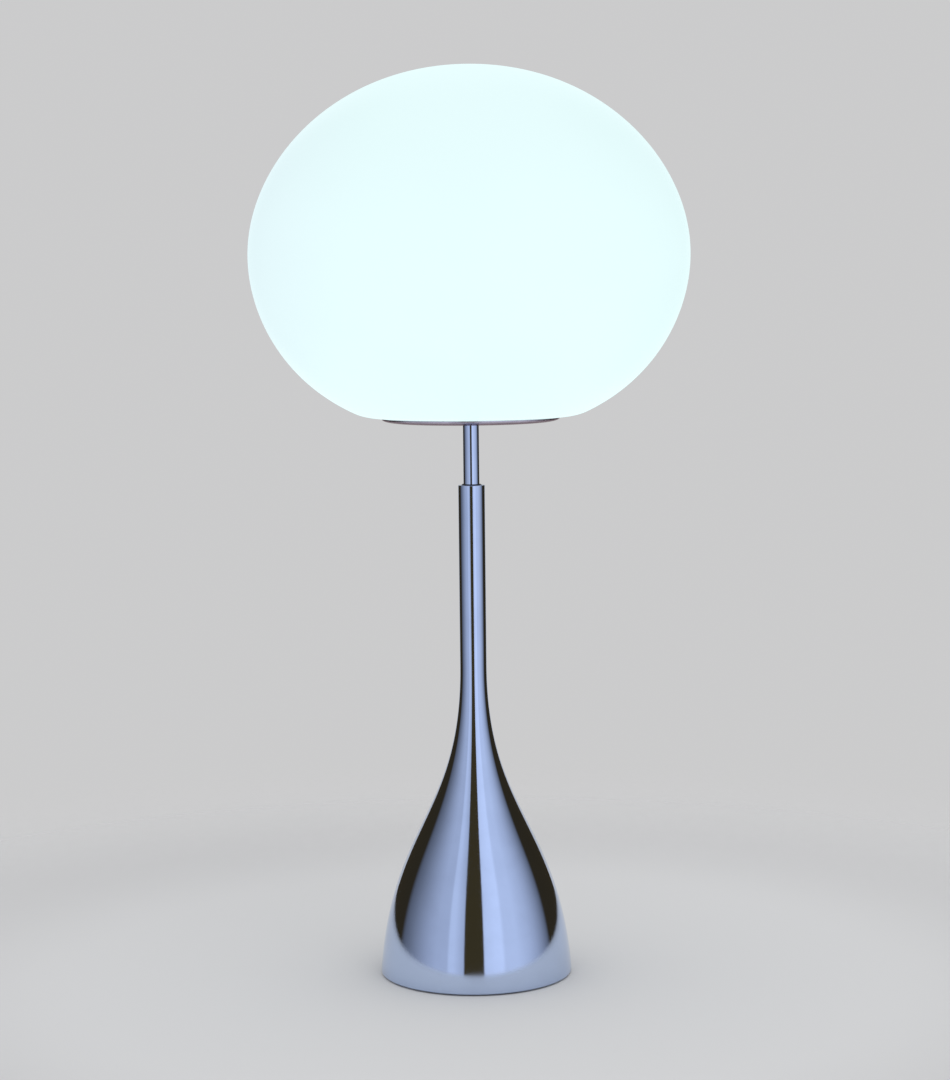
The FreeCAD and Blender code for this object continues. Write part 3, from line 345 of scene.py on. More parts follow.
def carved(piece, cutter_mesh):
    """Take a cutter's space out of a piece, and keep the result as its mesh."""
    cutter = placed("cutter", cutter_mesh)
    carving = piece.modifiers.new("carving", "BOOLEAN")
    carving.operation, carving.solver, carving.object = "DIFFERENCE", "EXACT", cutter
    bpy.context.view_layer.update()
    result = bpy.data.meshes.new_from_object(piece.evaluated_get(bpy.context.evaluated_depsgraph_get()))
    piece.modifiers.remove(carving)
    old, name = piece.data, piece.data.name
    piece.data = result
    bpy.data.meshes.remove(old)
    result.name = name
    bpy.data.objects.remove(cutter)
    return piece


# Finishes


def times(shade, factor):
    """A colour times a number: darker below 1, lighter above."""
    return tuple(part * factor for part in shade)


class Value:
    """A shader output. Arithmetic on numbers adds Math nodes."""

    def __init__(self, finish, socket):
        self.finish = finish
        self.socket = socket

    def math(self, operation, *others, first=None):
        values = [self if first is None else first, *others]
        return self.finish.node("ShaderNodeMath", {"operation": operation}, dict(enumerate(values)))

    def __add__(self, other):
        return self.math("ADD", other)

    def __sub__(self, other):
        return self.math("SUBTRACT", other)

    def __rsub__(self, other):
        return self.math("SUBTRACT", self, first=other)

    def __mul__(self, other):
        return self.math("MULTIPLY", other)

    def __truediv__(self, other):
        return self.math("DIVIDE", other)

    def __rtruediv__(self, other):
        return self.math("DIVIDE", self, first=other)

    def __pow__(self, other):
        return self.math("POWER", other)

    def __neg__(self):
        return self * -1.0

    __radd__ = __add__
    __rmul__ = __mul__

    def sine(self):
        return self.math("SINE")

    def between(self, start, end, to_start=0.0, to_end=1.0):
        """Smooth step from one value to another."""
        inputs = {"Value": self, "From Min": start, "From Max": end, "To Min": to_start, "To Max": to_end}
        return self.finish.node("ShaderNodeMapRange", {"interpolation_type": "SMOOTHSTEP"}, inputs)

    def mix(self, at_zero, at_one):
        """Colour that goes from one to another as this value goes from 0 to 1."""
        inputs = {0: self, 6: at_zero, 7: at_one}
        return self.finish.node("ShaderNodeMix", {"data_type": "RGBA"}, inputs, output=2)


class Finish:
    """A node tree being filled, for a material or the world."""

    def __init__(self, owner):
        owner.use_nodes = True
        self.owner = owner
        self.tree = owner.node_tree
        self.tree.nodes.clear()

    def node(self, kind, settings=None, inputs=None, output=0):
        """Any node: its settings are set first, then the values or links of its sockets."""
        made = self.tree.nodes.new(kind)
        for name, value in (settings or {}).items():
            if name == "stops":
                ramp = made.color_ramp
                for order, (place, shade) in enumerate(value):
                    stop = ramp.elements[order] if order < 2 else ramp.elements.new(place)
                    stop.position = place
                    stop.color = (*shade, 1.0) if isinstance(shade, tuple) else (shade, shade, shade, 1.0)
            else:
                setattr(made, name, value)
        for name, value in (inputs or {}).items():
            socket = made.inputs[name]
            if isinstance(value, Value):
                self.tree.links.new(value.socket, socket)
            elif socket.type == "RGBA":
                socket.default_value = (*value, 1.0) if len(value) == 3 else value
            else:
                socket.default_value = value
        return Value(self, made.outputs[output]) if made.outputs else made

    def place(self):
        """Position on the piece, in metres."""
        return self.node("ShaderNodeTexCoord", output="Object")

    def axes(self):
        """The three numbers of that position."""
        split = self.node("ShaderNodeSeparateXYZ", None, {"Vector": self.place()})
        return [Value(self, socket) for socket in split.socket.node.outputs]

    def radius(self):
        """Distance from the lamp's middle axis."""
        x, y, _ = self.axes()
        return (x * x + y * y) ** 0.5

    def scaled(self, scale, seed=0.0):
        """Position times a scale on each axis, moved along by a seed."""
        return self.node("ShaderNodeMapping", None,
                         {"Vector": self.place(), "Scale": scale, "Location": (seed, 0, 0)})

    def noise(self, size, stretch=(1.0, 1.0, 1.0), detail=3.0, seed=0.0):
        """Cloudy pattern with features of a size in metres, drawn out along an axis by its stretch."""
        at = self.scaled(tuple(1.0 / (size * s) for s in stretch), seed)
        return self.node("ShaderNodeTexNoise", None, {"Vector": at, "Scale": 1.0, "Detail": detail})

    def cells(self, size):
        """Distance to the nearest of scattered points, a size in metres apart."""
        return self.node("ShaderNodeTexVoronoi", None, {"Vector": self.scaled((1 / size,) * 3), "Scale": 1.0})

    def bump(self, height, depth, strength):
        """Relief of a depth in metres."""
        return self.node("ShaderNodeBump", None, {"Height": height, "Distance": depth, "Strength": strength})

    def close(self, inputs):
        """End the tree in one Principled surface, and give its material back."""
        surface = self.node("ShaderNodeBsdfPrincipled", None, inputs)
        self.node("ShaderNodeOutputMaterial", None, {"Surface": surface})
        return self.owner


def new_finish(name):
    """Empty finish for a new material."""
    return Finish(bpy.data.materials.new(name))


def chrome(name, tint):
    """Polished plating: near mirror, with faint wiping haze and hairline polishing marks."""
    made = new_finish(name)
    haze = made.noise(0.022, detail=4.0)
    hairs = made.noise(0.0011, stretch=(1.0, 1.0, 14.0), detail=2.0, seed=3.0)
    shade = haze.between(0.35, 0.75).mix(tint, times(tint, 0.95))
    rough = 0.05 + haze.between(0.42, 0.8) * 0.035 + hairs.between(0.5, 0.8) * 0.02
    normal = made.bump(hairs, 0.00002, 0.12)
    return made.close({"Base Color": shade, "Metallic": 1.0, "Roughness": rough, "Normal": normal})


def satin(name, tint, edge, roughness):
    """Turned satin metal: fine rings about the axis, slightly cloudy, darker seen at a slant through an edge
    tint, which is a painted reflection colour.
    """
    made = new_finish(name)
    ring_pitch = 0.0009
    cloud = made.noise(0.012, detail=4.0)
    lines = (made.radius() * (2 * math.pi / ring_pitch)).sine() * 0.5 + 0.5
    fine = made.noise(0.0006, stretch=(1.0, 1.0, 6.0), detail=2.0)
    shade = cloud.between(0.3, 0.75).mix(tint, times(tint, 0.84))
    rough = roughness + cloud * 0.10 + fine * 0.06
    normal = made.bump(lines + fine, 0.00003, 0.25)
    # The edge tint paints the colour of what is reflected at a slant: for the saucer it is a painted brown
    # reflection.
    return made.close({"Base Color": shade, "Metallic": 1.0, "Roughness": rough, "Specular Tint": edge,
                       "Normal": normal})


def metal(name, tint, roughness, grain=0.0015, patina=None, worn=0.8):
    """Plain metal: grain of a size in metres, and a darker or coloured bloom in patches."""
    made = new_finish(name)
    patch = made.noise(0.006, detail=5.0)
    speck = made.noise(grain, detail=3.0, seed=5.0)
    shade = patch.between(0.4, 0.72).mix(tint, patina or times(tint, worn))
    shade = (speck * 0.35).mix(shade, times(tint, 0.7))
    rough = roughness + patch.between(0.35, 0.8) * 0.16
    return made.close({"Base Color": shade, "Metallic": 1.0, "Roughness": rough,
                       "Normal": made.bump(speck, 0.00003, 0.6)})


def cast(name, tint):
    """Sand-cast iron with black primer: coarse pits and lumps, rust in the hollows."""
    made = new_finish(name)
    lumps = made.noise(0.0022, detail=6.0)
    pits = made.cells(0.0016)
    rust = made.noise(0.014, detail=5.0, seed=9.0).between(0.58, 0.75)
    shade = lumps.between(0.3, 0.7).mix(times(tint, 0.6), tint)
    shade = (rust * 0.5).mix(shade, (0.16, 0.055, 0.022))
    height = lumps + pits * 0.4
    return made.close({"Base Color": shade, "Metallic": 0.35, "Roughness": 0.62 + rust * 0.2,
                       "Normal": made.bump(height, 0.0003, 0.8)})


def plastic(name, tint, roughness, coat=0.0):
    """Moulded plastic: fine orange peel, slight mottling of the colour."""
    made = new_finish(name)
    peel = made.noise(0.0005, detail=2.0)
    mottle = made.noise(0.009, detail=3.0, seed=2.0)
    lighter = tuple(min(1.0, part * 1.18 + 0.0012) for part in tint)
    shade = mottle.between(0.35, 0.7).mix(tint, lighter)
    return made.close({"Base Color": shade, "Roughness": roughness + mottle * 0.08, "Coat Weight": coat,
                       "Coat Roughness": 0.12, "Normal": made.bump(peel, 0.00004, 0.5)})


def striped(name, tint, stripe):
    """Two-colour insulation: slanting stripes that repeat along the lead."""
    made = new_finish(name)
    x, y, z = made.axes()
    stripe_pitch = 0.0042
    wave = ((x + y + z) * (2 * math.pi / stripe_pitch)).sine().between(-0.1, 0.1)
    peel = made.noise(0.0006)
    return made.close({"Base Color": wave.mix(tint, stripe), "Roughness": 0.38 + peel * 0.06,
                       "Normal": made.bump(peel, 0.00002, 0.3)})


def felted(name, tint):
    """Pressed felt: short crossed fibres, lint and worn lighter patches."""
    made = new_finish(name)
    fibre = made.noise(0.00045, stretch=(4.0, 1.0, 1.0), detail=4.0)
    cross = made.noise(0.00045, stretch=(1.0, 4.0, 1.0), detail=4.0, seed=7.0)
    worn = made.noise(0.02, detail=3.0, seed=4.0).between(0.4, 0.8)
    nap = fibre * 0.5 + cross * 0.5
    shade = nap.between(0.32, 0.68).mix(times(tint, 0.55), times(tint, 1.9))
    shade = (worn * 0.3).mix(shade, times(tint, 2.6))
    return made.close({"Base Color": shade, "Roughness": 0.94, "Sheen Weight": 0.4, "Sheen Roughness": 0.5,
                       "Normal": made.bump(nap, 0.0004, 0.9)})


def glazed(name, tint):
    """Glazed porcelain: white body, faint pinholes, glossy coat."""
    made = new_finish(name)
    holes = made.cells(0.0011).between(0.02, 0.09)
    cloud = made.noise(0.005, detail=3.0)
    body = cloud.between(0.3, 0.7).mix(tint, times(tint, 0.95))
    shade = holes.mix(times(tint, 0.8), body)
    return made.close({"Base Color": shade, "Roughness": 0.28 + cloud * 0.08, "Coat Weight": 0.7,
                       "Coat Roughness": 0.06, "Normal": made.bump(holes, 0.00005, 0.4)})


def clear_glass(name, tint):
    """Thin clear glass with faint flow streaks."""
    made = new_finish(name)
    streak = made.noise(0.006, stretch=(1.0, 1.0, 5.0), detail=2.0)
    return made.close({"Base Color": tint, "Roughness": 0.01 + streak * 0.015, "IOR": 1.46,
                       "Transmission Weight": 1.0, "Normal": made.bump(streak, 0.00005, 0.2)})


def silicone(name, tint):
    """Milky silicone rubber, matte with moulding specks."""
    made = new_finish(name)
    cloud = made.noise(0.004, detail=4.0)
    shade = cloud.between(0.3, 0.7).mix(tint, times(tint, 0.88))
    return made.close({"Base Color": shade, "Roughness": 0.52 + cloud * 0.1, "IOR": 1.41,
                       "Normal": made.bump(cloud, 0.00006, 0.4)})


def opal(name, tint, glow, seat, crown):
    """Lit opal glass: even glow, a little stronger low down, with faint cloudy flow in the glass, and a
    painted lavender reflection on its left side.
    """
    made = new_finish(name)
    x, _, z = made.axes()
    rise = ((z - seat) / (crown - seat)).between(0.0, 1.0)
    flow = made.noise(0.09, stretch=(1.0, 1.0, 0.5), detail=3.0)
    seeds = made.cells(0.011).between(0.0, 0.035)
    lit = rise.mix(times(glow, 1.12), times(glow, 0.98))
    lit = (flow.between(0.25, 0.8) * 0.12).mix(lit, times(glow, 0.96))
    # Painted reflection: the glow turns lavender towards the globe's left side, fixed to the glass whatever
    # the light.
    side = x.between(-0.16, -0.06, 0.28, 0.0)
    lit = side.mix(lit, (glow[0] * 1.02, glow[1] * 0.9, glow[2] * 1.01))
    skin_height = flow + seeds * 0.15
    return made.close({"Base Color": tint, "Roughness": 0.40 + flow * 0.08, "Specular IOR Level": 0.25,
                       "Emission Color": lit, "Emission Strength": 1.0,
                       "Normal": made.bump(skin_height, 0.0003, 0.2)})


def glowing(name, tint, glow, strength):
    """Phosphor-coated filament rod: grainy coat, lit from inside."""
    made = new_finish(name)
    grain = made.noise(0.0004, detail=3.0)
    return made.close({"Base Color": grain.between(0.3, 0.7).mix(tint, times(tint, 0.85)),
                       "Roughness": 0.7, "Emission Strength": strength,
                       "Emission Color": grain.mix(glow, times(glow, 0.9)),
                       "Normal": made.bump(grain, 0.0001, 0.5)})


def slot_finishes(colours):
    """Finish of each material slot of the packed record."""
    return {
        "chromed_metal": chrome("polished chrome", tuple(colours.chrome)),
        # Painted reflection: the brown edge tint darkens the saucer's slanting edges as if they reflected a
        # red backdrop.
        "saucer_metal": satin("satin saucer metal", tuple(colours.saucer), (0.42, 0.34, 0.34), 0.10),
        "cast_iron": cast("cast iron", (0.045, 0.045, 0.05)),
        "plated_steel": metal("zinc plated steel", (0.55, 0.57, 0.58), 0.30, patina=(0.50, 0.52, 0.47)),
        "felt": felted("pressed felt", tuple(colours.felt)),
        "black_plastic": plastic("satin black plastic", (0.022, 0.022, 0.023), 0.46),
        "white_nylon": plastic("white nylon", (0.72, 0.70, 0.64), 0.5),
        "brass": metal("plain brass", (0.72, 0.51, 0.22), 0.26, patina=(0.44, 0.27, 0.10)),
        "brown_insulation": plastic("brown insulation", (0.10, 0.035, 0.014), 0.36),
        "blue_insulation": plastic("blue insulation", (0.012, 0.07, 0.32), 0.36),
        "green_yellow_insulation": striped("green and yellow insulation", (0.03, 0.26, 0.05),
                                           (0.72, 0.62, 0.03)),
        "clear_silicone": silicone("clear silicone", (0.66, 0.68, 0.68)),
        "spring_steel": metal("bright spring steel", (0.60, 0.60, 0.62), 0.22, grain=0.0007, worn=0.9),
        "rivet_aluminium": metal("rivet aluminium", (0.70, 0.70, 0.71), 0.34, grain=0.0006),
        "black_moulding": plastic("gloss black moulding", tuple(colours.moulding), 0.30, coat=0.35),
        "porcelain": glazed("glazed porcelain", (0.80, 0.78, 0.72)),
        "bulb_glass": clear_glass("clear bulb glass", (0.96, 0.98, 0.98)),
        "bulb_cap_metal": metal("nickelled bulb cap", (0.64, 0.63, 0.60), 0.26, grain=0.0009, worn=0.85),
        "black_glass": plastic("black glass", (0.012, 0.010, 0.014), 0.12, coat=0.6),
        "filament": glowing("filament coat", (0.85, 0.66, 0.28), tuple(colours.warm), 2.5),
        "frame_metal": metal("filament frame metal", (0.58, 0.58, 0.58), 0.30, grain=0.0006),
    }


FINISHES = {}


# Operators


def settings(name):
    """One group of sizes of the scene."""
    return getattr(bpy.context.scene, name)


class LAMP_OT_finishes(Operator):
    """Make the finishes, and give each packed node its own"""

    bl_idname = "lamp.finishes"
    bl_label = "Finishes"

    def execute(self, context):
        FINISHES.update(slot_finishes(settings("lamp_colours")))
        for name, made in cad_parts.items():
            slot = SLOT_OF[name].split(".")[0]
            if slot in FINISHES:
                made.material_slots[0].material = FINISHES[slot]
            elif slot != "opal_glass":
                raise RuntimeError(f"{name} has no finish for {slot}")
        return {"FINISHED"}


def flare(foot, inset, count):
    """Trumpet curve from the rim to the neck: a cubic curve, moved inwards by an inset."""
    start = (foot.radius - inset, foot.rim_lift + foot.rim_corner)
    throat = foot.neck_radius - inset
    return bezier(
        start,
        (start[0] - foot.lean, start[1] + foot.lower_pull),
        (throat, foot.flare_top - foot.upper_pull),
        (throat, foot.flare_top),
        count,
    )


class LAMP_OT_foot(Operator):
    """Turn the neck and the trumpet foot in one piece, and bore the cord inlet through its back"""

    bl_idname = "lamp.foot"
    bl_label = "Foot and neck"

    def execute(self, context):
        foot = settings("lamp_foot")
        bush_bottom = low("neck_bush")
        bore = foot.neck_radius - foot.wall
        outer = flare(foot, 0.0, 150)
        inner = flare(foot, foot.wall, 60)[::-1]
        profile = outline(
            (foot.radius - foot.wall, foot.rim_lift, 0.0006),
            (foot.radius, foot.rim_lift, foot.rim_corner),
            outer[1:],
            (foot.neck_radius, foot.neck_top, 0.0005),
            (foot.mouth, foot.neck_top, 0.0003),
            (foot.mouth, bush_bottom, 0.0002),
            (bore, bush_bottom, 0.0002),
            inner,
        )
        shell = mesh_of("foot_and_neck", swept(profile, foot.sections))
        piece = settle(shell, "stand", "chromed_metal", "base_shell")
        reach = 0.02
        hole = outline((0.0, -reach), (foot.inlet_hole, -reach, 0.0001), (foot.inlet_hole, reach, 0.0001),
                       (0.0, reach))
        grid = swept(hole, 64)
        grid = np.stack([grid[..., 0], grid[..., 2] + foot.radius, foot.inlet - grid[..., 1]], axis=-1)
        carved(piece, mesh_of("inlet_cutter", grid))
        return {"FINISHED"}


class LAMP_OT_tube(Operator):
    """Turn the thin tube between neck and saucer"""

    bl_idname = "lamp.tube"
    bl_label = "Thin tube"

    def execute(self, context):
        stem = settings("lamp_stem")
        bottom, top = low("upper_tube"), high("upper_tube")
        profile = outline(
            (stem.tube_bore, bottom, 0.0001),
            (stem.tube_radius, bottom, 0.0002),
            (stem.tube_radius, top, 0.0002),
            (stem.tube_bore, top, 0.0001),
        )
        settle(mesh_of("thin_tube", swept(profile, 128)), "stand", "chromed_metal", "upper_tube")
        return {"FINISHED"}


class LAMP_OT_saucer(Operator):
    """Spin the saucer, with its flat underside, rounded edge and low lip"""

    bl_idname = "lamp.saucer"
    bl_label = "Saucer"

    def execute(self, context):
        stem = settings("lamp_stem")
        bottom, top = low("shade_plate"), high("shade_plate")
        under = bezier(
            (stem.saucer_flat, bottom),
            (stem.saucer_flat + stem.edge_run, bottom),
            (stem.saucer_radius, top - stem.edge_rise),
            (stem.saucer_radius, top - 0.0004),
            40,
        )
        profile = outline(
            (stem.rod_hole, bottom, 0.0002),
            under,
            (stem.saucer_radius, top, 0.0003),
            (stem.saucer_radius - stem.lip_width, top, 0.0004),
            (stem.saucer_radius - stem.lip_width, stem.saucer_floor, 0.0003),
            (stem.rod_hole, stem.saucer_floor, 0.0002),
        )
        settle(mesh_of("saucer", swept(profile, 256)), "stand", "saucer_metal", "shade_plate")
        return {"FINISHED"}


class LAMP_OT_gasket(Operator):
    """Mould the silicone ring that the glass stands on"""

    bl_idname = "lamp.gasket"
    bl_label = "Gasket"

    def execute(self, context):
        bottom, top = low("globe_gasket"), high("globe_gasket")
        outer = high("globe_gasket", 0)
        width = settings("lamp_stem").gasket_width
        profile = outline(
            (outer - width, bottom, 0.0004),
            (outer, bottom, 0.0004),
            (outer, top, 0.0004),
            (outer - width, top, 0.0004),
        )
        settle(mesh_of("silicone_gasket", swept(profile, 192)), "stand", "clear_silicone", "globe_gasket")
        return {"FINISHED"}


class LAMP_OT_globe(Operator):
    """Blow the opal globe: outer and inner skin joined by a fire-polished mouth"""

    bl_idname = "lamp.globe"
    bl_label = "Globe"

    def skin_curves(self, globe, wall, counts):
        """Side from the flat bottom to the crown, as three cubic curves moved inwards by a wall."""
        radius = globe.radius - wall
        seat = globe.seat + wall
        middle = globe.seat + globe.equator
        crown = middle + globe.crown - wall
        along = np.array([math.cos(globe.heel_angle), math.sin(globe.heel_angle)])
        heel = np.array([globe.heel_radius - wall * along[1], globe.seat + globe.heel_rise + wall * along[0]])
        first = bezier((globe.flat, seat), (globe.flat + globe.flat_pull, seat), heel - globe.heel_in * along,
                       heel, counts[0])
        second = bezier(heel, heel + globe.heel_out * along, (radius, middle - globe.waist_pull),
                        (radius, middle), counts[1])
        third = bezier((radius, middle), (radius, middle + globe.shoulder_pull - wall),
                       (globe.crown_pull - wall, crown), (0.0, crown), counts[2])
        return np.vstack([first, second[1:], third[1:]])

    def execute(self, context):
        globe = settings("lamp_globe")
        colours = settings("lamp_colours")
        outer = self.skin_curves(globe, 0.0, (14, 50, 90))
        inner = self.skin_curves(globe, globe.wall, (10, 30, 50))[::-1]
        profile = outline(
            inner,
            (globe.mouth, globe.seat + globe.wall, globe.wall * 0.48),
            (globe.mouth, globe.seat, globe.wall * 0.48),
            outer,
        )
        FINISHES["opal_glass"] = opal("lit opal glass", tuple(colours.opal), tuple(colours.glow), globe.seat,
                                      high("glass_globe"))
        settle(mesh_of("opal_globe", swept(profile, 256)), "globe", "opal_glass", "glass_globe")
        return {"FINISHED"}


class LAMP_OT_rivets(Operator):
    """Head the rivets that hold the leaf clips: domed above, peened below"""

    bl_idname = "lamp.rivets"
    bl_label = "Rivets"

    def execute(self, context):
        stem = settings("lamp_stem")
        bottom, top = low("clip_rivets"), high("clip_rivets")
        profile = outline(
            (0.0, bottom - 0.0002),
            bezier((0.0004, bottom - 0.0002), (0.0012, bottom - 0.0002), (0.0019, bottom - 0.0001),
                   (0.0019, bottom + 0.0001), 10),
            (stem.rivet_shank, bottom + 0.0003, 0.00005),
            (stem.rivet_shank, top - stem.rivet_dome, 0.00005),
            bezier((stem.rivet_head, top - stem.rivet_dome), (stem.rivet_head, top - 0.0002), (0.0016, top),
                   (0.0004, top), 14),
            (0.0, top),
        )
        angles = np.arange(3) * 2 * math.pi / 3
        grids = [swept(profile, 32, centre=(stem.rivet_circle * math.cos(a), stem.rivet_circle * math.sin(a)))
                 for a in angles]
        settle(mesh_of("domed_rivets", *grids), "stand", "rivet_aluminium", "clip_rivets")
        return {"FINISHED"}


class LAMP_OT_holder(Operator):
    """Mould the lampholder's cap and fluted body"""

    bl_idname = "lamp.holder"
    bl_label = "Lampholder"

    def execute(self, context):
        holder = settings("lamp_holder")
        bottom, joint = low("lampholder_cap"), high("lampholder_cap")
        top = high("lampholder_body")
        bore = holder.radius - holder.wall
        shoulder = bottom + holder.hub_height + holder.slope
        ledge = low("lampholder_insert")
        cap = outline(
            (holder.rod_hole, bottom, 0.0002),
            (holder.hub, bottom, 0.0006),
            (holder.hub, bottom + holder.hub_height, 0.0008),
            (holder.radius, shoulder, 0.0045),
            (holder.radius, joint - 0.0012, 0.0001),
            (holder.radius - 0.0004, joint - 0.0008, 0.0001),
            (holder.radius - 0.0004, joint, 0.0001),
            (bore, joint, 0.0001),
            (bore, ledge, 0.0001),
            (bore - holder.wall, ledge, 0.0001),
            (bore - holder.wall, shoulder + 2 * holder.wall, 0.002),
            (holder.rod_hole, bottom + holder.hub_height + 2 * holder.wall, 0.0005),
        )
        settle(mesh_of("holder_cap", swept(cap, 160)), "stand", "black_moulding", "lampholder_cap")
        insert_top = high("lampholder_insert")
        margin, fade = 0.003, 0.002
        heights = np.linspace(joint + margin, top - margin, 40)
        grip = np.stack([np.full_like(heights, holder.radius), heights], axis=-1)
        body = outline(
            (bore, joint, 0.0001),
            (holder.radius - 0.0004, joint, 0.0001),
            (holder.radius, joint + 0.0008, 0.0003),
            grip,
            (holder.radius, top, 0.0008),
            (bore - 0.001, top, 0.0005),
            (bore - 0.001, insert_top, 0.0001),
            (bore, insert_top, 0.0001),
        )
        angle = np.linspace(0.0, 2 * math.pi, 320, endpoint=False)
        ends = fading(body[:, 1:], joint + margin, fade, top - margin, fade)
        outside = body[:, :1] > holder.radius - 0.0001
        relief = holder.flute * outside * ends * (0.5 - 0.5 * np.cos(holder.flutes * angle))
        settle(mesh_of("holder_body", swept(body, 320, relief)), "stand", "black_moulding", "lampholder_body")
        return {"FINISHED"}


class LAMP_OT_bulb(Operator):
    """Blow the bulb, roll its threaded cap, and set its filament rods"""

    bl_idname = "lamp.bulb"
    bl_label = "Bulb"

    def envelope(self, bulb, inset, counts):
        """Side of the bulb from its neck to its crown: two cubic curves moved inwards by a wall."""
        neck, side = bulb.neck - inset, bulb.radius - inset
        neck_top = high("bulb_cap") + 0.002
        middle = bulb.crown - bulb.radius
        crown = bulb.crown - inset
        lower = bezier((neck, neck_top), (neck, neck_top + bulb.neck_pull), (side, middle - bulb.side_pull),
                       (side, middle), counts[0])
        pull = side * 0.5523  # which makes a quarter circle
        upper = bezier((side, middle), (side, middle + pull), (pull, crown), (0.0, crown), counts[1])
        return np.vstack([lower, upper[1:]])

    def execute(self, context):
        bulb = settings("lamp_bulb")
        bottom = low("bulb_envelope")
        inner = self.envelope(bulb, bulb.wall, (40, 36))[::-1]
        outer = self.envelope(bulb, 0.0, (48, 44))
        profile = outline(inner, (bulb.neck - bulb.wall, bottom, 0.0003), (bulb.neck, bottom, 0.0003), outer)
        settle(mesh_of("bulb_glass", swept(profile, 128)), "bulb", "bulb_glass", "bulb_envelope")
        cap_low, cap_high = low("bulb_cap"), high("bulb_cap")
        heights = np.linspace(cap_low + 0.001, cap_high - 0.001, 110)
        side = np.stack([np.full_like(heights, bulb.cap_radius), heights], axis=-1)
        inside = bulb.cap_radius - 0.0006
        cap = outline(
            (0.0, cap_low),
            (bulb.cap_radius - 0.0016, cap_low, 0.0006),
            side,
            (bulb.cap_radius, cap_high, 0.00015),
            (inside, cap_high, 0.0001),
            (inside, cap_low + 0.0004, 0.0005),
            (0.0, cap_low + 0.0004),
        )
        angle = np.linspace(0.0, 2 * math.pi, 128, endpoint=False)
        height = cap[:, 1:]
        outside = cap[:, :1] > bulb.cap_radius - 0.0001
        ends = fading(height, cap_low + 0.001, 0.003, cap_high - 0.0035, 0.002)
        wave = 0.5 - 0.5 * np.cos(2 * math.pi * (height - cap_low) / bulb.pitch - angle)
        relief = bulb.thread_depth * outside * ends * wave
        settle(mesh_of("threaded_cap", swept(cap, 128, relief)), "bulb", "bulb_cap_metal", "bulb_cap")
        rods_low, rods_high = low("bulb_filaments"), high("bulb_filaments")
        reach = high("bulb_filaments", 0) - bulb.filament
        rod = outline(
            (0.0, rods_low),
            (bulb.filament, rods_low, 0.0006),
            (bulb.filament, rods_high, 0.0006),
            (0.0, rods_high),
        )
        grids = [swept(rod, 24, centre=(reach * math.cos(a), reach * math.sin(a)))
                 for a in np.arange(4) * math.pi / 2]
        settle(mesh_of("filament_rods", *grids), "bulb", "filament", "bulb_filaments")
        return {"FINISHED"}


class LAMP_OT_inlet(Operator):
    """Mould the inlet bush at the back of the foot: the back of its flange follows the curved wall"""

    bl_idname = "lamp.inlet"
    bl_label = "Inlet bush"

    def execute(self, context):
        foot = settings("lamp_foot")
        start, end = low("inlet_bush", 1), high("inlet_bush", 1)
        flange = end - foot.flange
        profile = outline(
            (foot.inlet_bore, start, 0.0002),
            (foot.inlet_barrel, start, 0.0002),
            (foot.inlet_barrel, flange, 0.0001),
            (foot.flange_radius, flange, 0.0002),
            (foot.flange_radius, end, 0.0008),
            (foot.inlet_bore, end, 0.0009),
        )
        grid = swept(profile, 64)
        across, out, height = grid[..., 0], grid[..., 2], foot.inlet - grid[..., 1]
        curve = flare(foot, 0.0, 150)
        wall = np.sqrt(np.interp(height, curve[:, 1], curve[:, 0]) ** 2 - across**2)
        back = (out > flange - 0.0006) & (out < flange + 0.0003)
        grid = np.stack([across, np.where(back, out - flange + wall, out), height], axis=-1)
        settle(mesh_of("cord_bush", grid), "stand", "black_plastic", "inlet_bush")
        return {"FINISHED"}


class LAMP_OT_pad(Operator):
    """Cut the felt pad under the foot"""

    bl_idname = "lamp.pad"
    bl_label = "Felt pad"

    def execute(self, context):
        radius, top = high("felt_pad", 0), high("felt_pad")
        profile = outline((0.0, 0.0), (radius, 0.0, 0.0007), (radius, top, 0.0007), (0.0, top))
        settle(mesh_of("felt_disc", swept(profile, 192)), "stand", "felt", "felt_pad")
        return {"FINISHED"}


